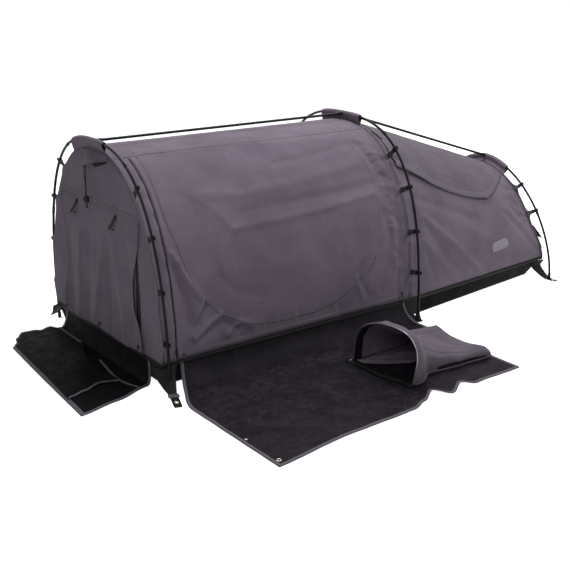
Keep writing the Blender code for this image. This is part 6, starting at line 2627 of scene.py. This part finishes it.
@dataclass
class BootHood:
    """Canvas tunnel on the mat that keeps boots dry, held open by a wire hoop."""

    x: float = -0.361
    y: float = -0.840
    z: float = 0.003
    length: float = 0.451
    mouth: tuple[Place, ...] = (
        (-0.997, 0.003), (-1.014, 0.064), (-1.024, 0.123), (-1.014, 0.168), (-0.975, 0.203),
        (-0.906, 0.213), (-0.819, 0.204), (-0.742, 0.169), (-0.700, 0.118), (-0.690, 0.074),
        (-0.684, 0.003))
    near_edge: tuple[Place, ...] = (
        (0.0, -0.997), (0.12, -0.999), (0.32, -0.958), (0.66, -0.974), (1.0, -0.982))
    near_top: tuple[Place, ...] = (
        (0.0, 0.180), (0.15, 0.150), (0.32, 0.112), (0.50, 0.082), (0.70, 0.064), (0.95, 0.057),
        (1.0, 0.050))
    mid_top: tuple[Place, ...] = (
        (0.0, 0.206), (0.20, 0.160), (0.40, 0.112), (0.60, 0.072), (0.80, 0.048), (0.95, 0.034),
        (1.0, 0.028))
    far_top: tuple[Place, ...] = (
        (0.0, 0.188), (0.17, 0.150), (0.48, 0.104), (0.745, 0.090), (0.93, 0.077), (0.97, 0.060),
        (1.0, 0.036))
    slack: tuple[Place, ...] = (
        (-0.355, -0.705), (-0.337, -0.737), (-0.305, -0.765), (-0.267, -0.793), (-0.234, -0.813),
        (-0.195, -0.834), (-0.05, -0.880), (0.05, -0.900))
    net: tuple[float, float] = (0.40, 0.97)
    sill: tuple[tuple[float, float, float], ...] = (
        (-0.013, 0.0, 0.0006), (-0.008, 0.8, 0.0), (0.000, 1.0, 0.0), (0.010, 0.8, 0.0),
        (0.018, 0.0, 0.0010))
    folds: tuple[Crease, ...] = (
        Crease(((0.08, 0.95), (0.22, 0.62), (0.34, 0.44), (0.46, 0.50)), 0.070, 0.0080),
        Crease(((0.14, 0.40), (0.26, 0.34), (0.36, 0.42)), 0.060, -0.0090),
        Crease(((0.16, 1.20), (0.40, 0.80), (0.70, 0.70), (0.95, 0.66)), 0.060, -0.0060),
        Crease(((0.10, 1.80), (0.34, 1.50), (0.62, 1.22), (0.95, 1.00)), 0.065, 0.0050),
        Crease(((0.10, 1.95), (0.40, 1.82), (0.90, 1.86)), 0.060, -0.0070),
        Crease(((0.14, 2.35), (0.45, 2.20), (0.90, 2.26)), 0.060, 0.0050),
        Crease(((0.86, 0.40), (0.92, 0.90), (0.88, 1.60), (0.93, 2.30)), 0.040, 0.0034),
        Crease(((0.76, 0.50), (0.80, 1.10), (0.76, 1.90)), 0.040, -0.0034),
    )

    def __post_init__(self) -> None:
        """Spaces the mouth's rim evenly."""
        self.rim = evenly(through_places(self.mouth, 12), 181)

    def rim_at(self, angle: float) -> Place:
        """Width and height of the mouth's rim at an angle.

        Args:
            angle: Angle round the mouth.

        Returns:
            The place across and its height.
        """
        place = min(max(angle / math.pi, 0.0), 1.0) * (len(self.rim) - 1)
        index = min(int(place), len(self.rim) - 2)
        (y, z), (next_y, next_z) = self.rim[index:index + 2]
        return lerp(y, next_y, place - index), lerp(z, next_z, place - index)

    def place(self, share: float, angle: float) -> Vector:
        """Point of the hood's outer face, from its mouth to its rear end.

        Args:
            share: Share from the mouth to the rear; past one it closes the end.
            angle: Angle over the hood.

        Returns:
            The point.
        """
        held = min(max(share, 0.0), 1.0)
        ease = smooth(held)
        near = between(self.near_edge, held)
        far = self.y + 0.157 - 0.012 * math.sin(math.pi * held)
        wide, rise = arch(1.0, 1.0, lerp(2.7, 4.2, ease), angle)
        across = (wide + 1) / 2
        low, high = ((self.near_top, self.mid_top), (self.mid_top, self.far_top))[across > 0.5]
        half = smooth(across * 2 % 1 if across < 1 else 1.0)
        top = lerp(between(low, held), between(high, held), half)
        y, z = lerp(near, far, across), rise * top + self.z * (1 - rise)
        left = 1 - smooth(held / 0.30)
        rim_y, rim_z = self.rim_at(angle)
        y, z = lerp(y, rim_y, left), lerp(z, rim_z, left)
        up = math.sin(angle)
        relief = sum(fold.at(held, angle) for fold in self.folds) * smooth(held * 8) * up
        relief += 0.0016 * wobble(share * 0.45, angle * 0.2, 0.05, 80.0) * smooth(held * 10) * up
        z += relief * rise
        y += relief * 0.5 * (across - 0.5) * up
        past = min(max(share - 1.0, 0.0) / 0.06, 1.0)
        shrink = math.sqrt(max(1 - past * past, 0.0))
        x = self.x + self.length * held + 0.012 * math.sin(past * math.pi / 2)
        x += lerp(0.014, -0.003, across) * (1 - smooth(held / 0.2))
        return Vector((x, lerp(self.y, y, lerp(0.95, 1.0, shrink)), self.z + (z - self.z) * shrink))

    def crumple(self, piece: bpy.types.Object) -> None:
        """Gives a piece of the hood its own copy of its mesh."""
        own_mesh(piece)

    def build(self) -> None:
        """Makes the hood, its hem band, sill, side net, piping and wire."""
        plain = Surface(self.place)
        angles = spread(0.0, math.pi, 72)
        shares = spread(0.0, 1.0, 60) + [1.02, 1.04, 1.053, 1.06]
        rows = plain.grid(shares, angles)
        self.crumple(sheet("boot_hood_cloth", rows, CANVAS_PAINTED_SHADE, Body.GROUND_MAT, "boot_hood",
                           "stretched", ["side_mat_cloth", "boot_wire_rod"], inside=BOOT_LINING_PAINTED_LIGHT))
        # Black band a little inside the mouth, round its rim.
        rows = plain.grid(spread(0.004, 0.085, 6), spread(0.02, math.pi - 0.02, 60), -0.0030)
        self.crumple(ride(cloth("boot_mouth_facing", rows, MAT_CLOTH, 0.0008), Body.GROUND_MAT))
        rows = []
        for x in spread(-0.352, 0.04, 60):
            inner = between(self.slack, x)
            row = []
            for share in spread(0.0, 1.0, 30):
                y = lerp(-0.692, inner, share)
                fan = math.atan2(y + 0.690, x + 0.372)
                rise = 0.0045 * (1 + math.sin(fan * 17)) * math.sin(math.pi * share) ** 0.6
                rise += 0.0014 * (1 + wobble(x, y, 0.04, 85.0))
                row.append(Vector((x, y, 0.0052 + rise)))
            rows.append(row)
        self.crumple(sheet("boot_slack_lining", rows, BOOT_LINING_PAINTED_LIGHT, Body.GROUND_MAT, "", "laid",
                           ["side_mat_cloth"], 0.0010))
        for name, at, width, finish, crown in (("hem", 0.046, 0.040, CANVAS_PAINTED_SHADE, 0.0010),
                                               ("edge", 0.007, 0.0080, CANVAS_HEM, 0.0026)):
            path = [(at, angle) for angle in spread(0.01, math.pi - 0.01, 90)]
            self.crumple(ride(ribbon("boot_mouth_" + name, plain, path, width, finish, 0.0012,
                                     crown, 6), Body.GROUND_MAT))
        net = []
        for along, share in zip(spread(0.0, 1.0, 40), spread(*self.net, 40)):
            rise = 0.05 + lerp(0.16, 0.13, along) * max(math.sin(math.pi * along), 0.0) ** 0.35
            net.append([plain.at(share, angle, 0.0012) for angle in spread(0.03, rise, 8)])
        self.crumple(ride(cloth("boot_side_net", net, NET, 0.0008), Body.GROUND_MAT))
        for side in Side:
            angle = 0.03 if side is Side.NEAR else math.pi - 0.03
            line = [plain.at(share, angle, 0.0010) for share in spread(0.02, 1.0, 60)]
            ride(tube("boot_piping_" + side.word, line, 0.0032, BINDING), Body.GROUND_MAT)
        sill = []
        for share in spread(0.0, 1.0, 40):
            y = lerp(-0.672, -1.008, share)
            x = -0.380 + 0.030 * share + 0.006 * math.sin(math.pi * share * 3)
            high = lerp(0.008, 0.014, share)
            sill.append([Vector((x + dx, y, self.z + high * part + dz))
                         for dx, part, dz in self.sill])
        ride(cloth("boot_sill", sill, WEBBING, 0.0008), Body.GROUND_MAT)
        wire = [self.place(0.0, angle) - ALONG * 0.0030 for angle in spread(0.0, math.pi, 60)]
        ride(tube("boot_wire_rod", wire, 0.0024, WIRE), Body.BOOT_WIRE, "boot_hoop")


@dataclass
class HeadMat:
    """Small mat at the head end with a gear pocket on it."""

    root_x: float = -1.0823
    width: float = 0.790
    depth: float = 0.345
    slant: float = 0.060
    shift: float = -0.050
    drape_reach: float = 0.036
    drape_share: float = 0.26
    top_z: float = 0.089
    near_edge: tuple[Place, ...] = ((0.0, 0.090), (0.26, 0.048), (0.60, 0.014), (1.0, -0.006))
    far_edge: tuple[Place, ...] = (
        (0.0, 0.0), (0.12, 0.045), (0.31, 0.034), (0.39, 0.055), (0.60, 0.066), (0.80, 0.020),
        (0.88, -0.030), (1.0, -0.060))
    mouth: tuple[Place, ...] = (
        (-0.415, -1.148), (-0.301, -1.176), (-0.207, -1.193), (-0.072, -1.193), (0.0, -1.172),
        (0.088, -1.134), (0.344, -1.119))
    pocket_edge: tuple[Place, ...] = (
        (-1.440, -0.372), (-1.389, -0.328), (-1.328, -0.309), (-1.251, -0.278), (-1.176, -0.301))
    strip: tuple[Place, ...] = (
        (-1.145, -0.072), (-1.166, -0.190), (-1.176, -0.301), (-1.147, -0.401))
    lip_end: float = 0.62
    thick: float = 0.0020
    pocket_thick: float = 0.0018

    def point(self, across: float, share: float) -> Vector:
        """Point of the mat's upper face, from its sewn edge outwards.

        Args:
            across: Share across the mat, from the near side.
            share: Share from its sewn edge outwards.

        Returns:
            The point.
        """
        drape = min(share / self.drape_share, 1.0)
        out = max((share - self.drape_share) / (1 - self.drape_share), 0.0)
        turn = math.pi / 2 * drape
        x = self.root_x - self.drape_reach * (1 - math.cos(turn))
        z = lerp(self.top_z, 0.0025, math.sin(turn))
        x = lerp(x, self.root_x - self.depth + self.slant * across, out)
        low = self.shift - self.width / 2 - self.slant / 2 * out
        y = low + self.width * across + between(self.far_edge, out) * across ** 3
        y += between(self.near_edge, share) * (1 - across) ** 3
        rise = 0.0008 + 0.0012 * wobble(x, y, 0.06, 90.0)
        return Vector((x, y, z + max(rise, 0.0) * smooth(out * 6)))

    def find(self, x: float, y: float) -> Place:
        """Shares at which the mat's upper face passes over a place on the ground.

        Args:
            x: Place along the swag.
            y: Place across it.

        Returns:
            The two shares.
        """
        across = 0.5
        share = 0.5
        for _ in range(24):
            point = self.point(across, share)
            across += (y - point.y) / self.width
            share = max(share + (point.x - x) / self.depth, self.drape_share)
        return across, share

    def pocket_point(self, across: float, share: float) -> Vector:
        """Point of the pocket's upper face, from its mouth to its sewn outer edge.

        Args:
            across: Share across the pocket.
            share: Share from its mouth outwards.

        Returns:
            The point.
        """
        outer = self.point(lerp(0.018, 0.982, across), 0.955)
        y = lerp(self.pocket_edge[-1][1], 0.345, across)
        inner = Vector((between(self.mouth, y), y, 0.0025))
        point = inner.lerp(outer, share)
        inset = between(self.pocket_edge, point.x) - lerp(self.pocket_edge[-1][1],
                                                          self.point(0.018, 0.955).y, share)
        point.y += inset * (1 - across) ** 3
        hump = max(math.sin(math.pi * across), 0.0) ** 1.5 * (1 - smooth(share * 1.15))
        sag = 0.022 * hump * (0.65 + 0.5 * bell(y + 0.12, 0.12))
        wave = 0.0024 * (1 + wobble(point.x, point.y, 0.055, 95.0)) * math.sin(math.pi * share)
        point.z += 0.0030 + 0.0025 + sag + wave * smooth(across * 8) * smooth((1 - across) * 8)
        return point

    def build(self) -> None:
        """Makes the mat, the pocket and their bindings."""
        shares = spread(0.0, self.drape_share, 12) + spread(self.drape_share, 1.0, 46)[1:]
        plain = Surface(self.point, step=0.0008)
        rows = plain.grid(spread(0.0, 1.0, 80), shares)
        sheet("head_mat_cloth", rows, HEAD_MAT_CLOTH_PAINTED_SHADE, Body.HEAD_MAT, "head_mat", "laid",
              ["tub_shell"], self.thick)
        pocket = Surface(self.pocket_point, step=0.0008)
        rows = pocket.grid(spread(0.0, 1.0, 80), spread(0.0, 1.0, 44))
        sheet("head_pocket_cloth", rows, HEAD_MAT_CLOTH_PAINTED_SHADE, Body.HEAD_MAT, "head_pocket", "laid",
              ["head_mat_cloth"], self.pocket_thick)
        outwards = spread(0.02, 0.998, 50)
        outer = [(across, 1.0) for across in spread(0.0, 1.0, 80)]
        for name, path, way, wide in (
                ("near", [(0.0, share) for share in outwards], ACROSS, 0.012),
                ("outer", outer, ALONG, 0.017),
                ("far", [(1.0, share) for share in outwards], -ACROSS, 0.012)):
            ride(binding("head_mat_binding_" + name, plain, path, way, wide, self.thick),
                 Body.HEAD_MAT)
        mouth = [(across, 0.0) for across in spread(self.lip_end, 0.99, 50)]
        ride(binding("pocket_mouth_binding", pocket, mouth, -ALONG, 0.011, self.pocket_thick),
             Body.HEAD_MAT)
        edge = [(0.0, share) for share in spread(0.01, 0.99, 50)]
        ride(binding("pocket_near_piping", pocket, edge, ACROSS, 0.008, self.pocket_thick),
             Body.HEAD_MAT)
        strip = [self.find(x, y) for x, y in through_places(self.strip, 50)]
        ride(ribbon("pocket_strip", plain, strip, 0.011, BINDING, 0.0010, 0.0008), Body.HEAD_MAT)
        top = [(across, 0.012) for across in spread(0.002, 0.998, 80)]
        ride(ribbon("head_mat_top_binding", plain, top, 0.011, WEBBING, 0.0009, 0.0006),
             Body.HEAD_MAT)


@dataclass
class Studio:
    """White sweep, soft lamps and the camera at the photograph's angle."""

    place: tuple[float, float, float] = (-2.7913, -3.4645, 1.569)
    yaw: float = 36.998
    pitch: float = 18.736
    lens: float = 64.412
    sensor: float = 36.0
    lamps: tuple[tuple[str, tuple[float, float, float], float, float], ...] = (
        ("key_softbox", (2.4, -2.8, 3.6), 2.0, 68.0),
        ("top_softbox", (0.3, 0.5, 4.2), 2.0, 118.0),
        ("rear_softbox", (2.6, 2.6, 2.4), 2.2, 26.0),
        ("front_softbox", (-2.8, -2.6, 2.4), 1.6, 27.0),
    )
    ambient: float = 0.10
    aim: tuple[float, float, float] = (0.0, 0.0, 0.3)
    floor_reach: float = 16.0

    def place_object(self, name: str, data: object, place: Sequence[float], way: Vector
                     ) -> bpy.types.Object:
        """Puts a camera or lamp at a place, looking a way.

        Args:
            name: The object's name.
            data: Its camera or light.
            place: Where it stands.
            way: Direction that it looks in.

        Returns:
            The new object.
        """
        made = bpy.data.objects.new(name, data)
        made.location = place
        made.rotation_euler = way.to_track_quat("-Z", "Y").to_euler()
        bpy.context.scene.collection.objects.link(made)
        return made

    def build(self) -> None:
        """Makes the floor, the lamps, the world and the camera."""
        data = bpy.data.cameras.new("photo_camera")
        data.lens = self.lens
        data.sensor_width = self.sensor
        yaw, pitch = math.radians(self.yaw), math.radians(self.pitch)
        way = Vector((math.sin(yaw) * math.cos(pitch), math.cos(yaw) * math.cos(pitch),
                      -math.sin(pitch)))
        bpy.context.scene.camera = self.place_object("photo_camera", data, self.place, way)
        steps = spread(-self.floor_reach, self.floor_reach, 8)
        rows = [[Vector((x, y, 0.0)) for y in steps] for x in steps]
        cloth("studio_floor", rows, FLOOR, 0.0)
        for name, place, size, power in self.lamps:
            lamp = bpy.data.lights.new(name, "AREA")
            lamp.shape = "DISK"
            lamp.size = size
            lamp.energy = power
            self.place_object(name, lamp, place, Vector(self.aim) - Vector(place))
        self.build_world()
        bpy.context.scene.view_settings.view_transform = "Standard"

    def build_world(self) -> None:
        """Makes a plain white surround that lights the swag softly."""
        world = bpy.data.worlds.new("white_surround")
        bpy.context.scene.world = world
        world.use_nodes = True
        tree = world.node_tree
        strength = add_node(tree, "MapRange", {
            "Value": seen_plainly(tree), "To Min": self.ambient, "To Max": 1.0})
        ground = tree.nodes["Background"].inputs
        feed(tree, ground["Color"], (1.0, 1.0, 1.0, 1.0))
        feed(tree, ground["Strength"], strength.outputs[0])


def main() -> None:
    """Builds the studio, then the swag from its head end to its mats."""
    logging.basicConfig(level=logging.INFO, format="%(message)s")
    Studio().build()
    fold_canopy()
    HeadEnd().build()
    Canopy().build()
    for side in Side:
        SideDoor(side).build()
        RoofFlap(side).build()
    Poles().build()
    TUB.build()
    SideMat().build()
    HeadMat().build()


if __name__ == "__main__":
    main()
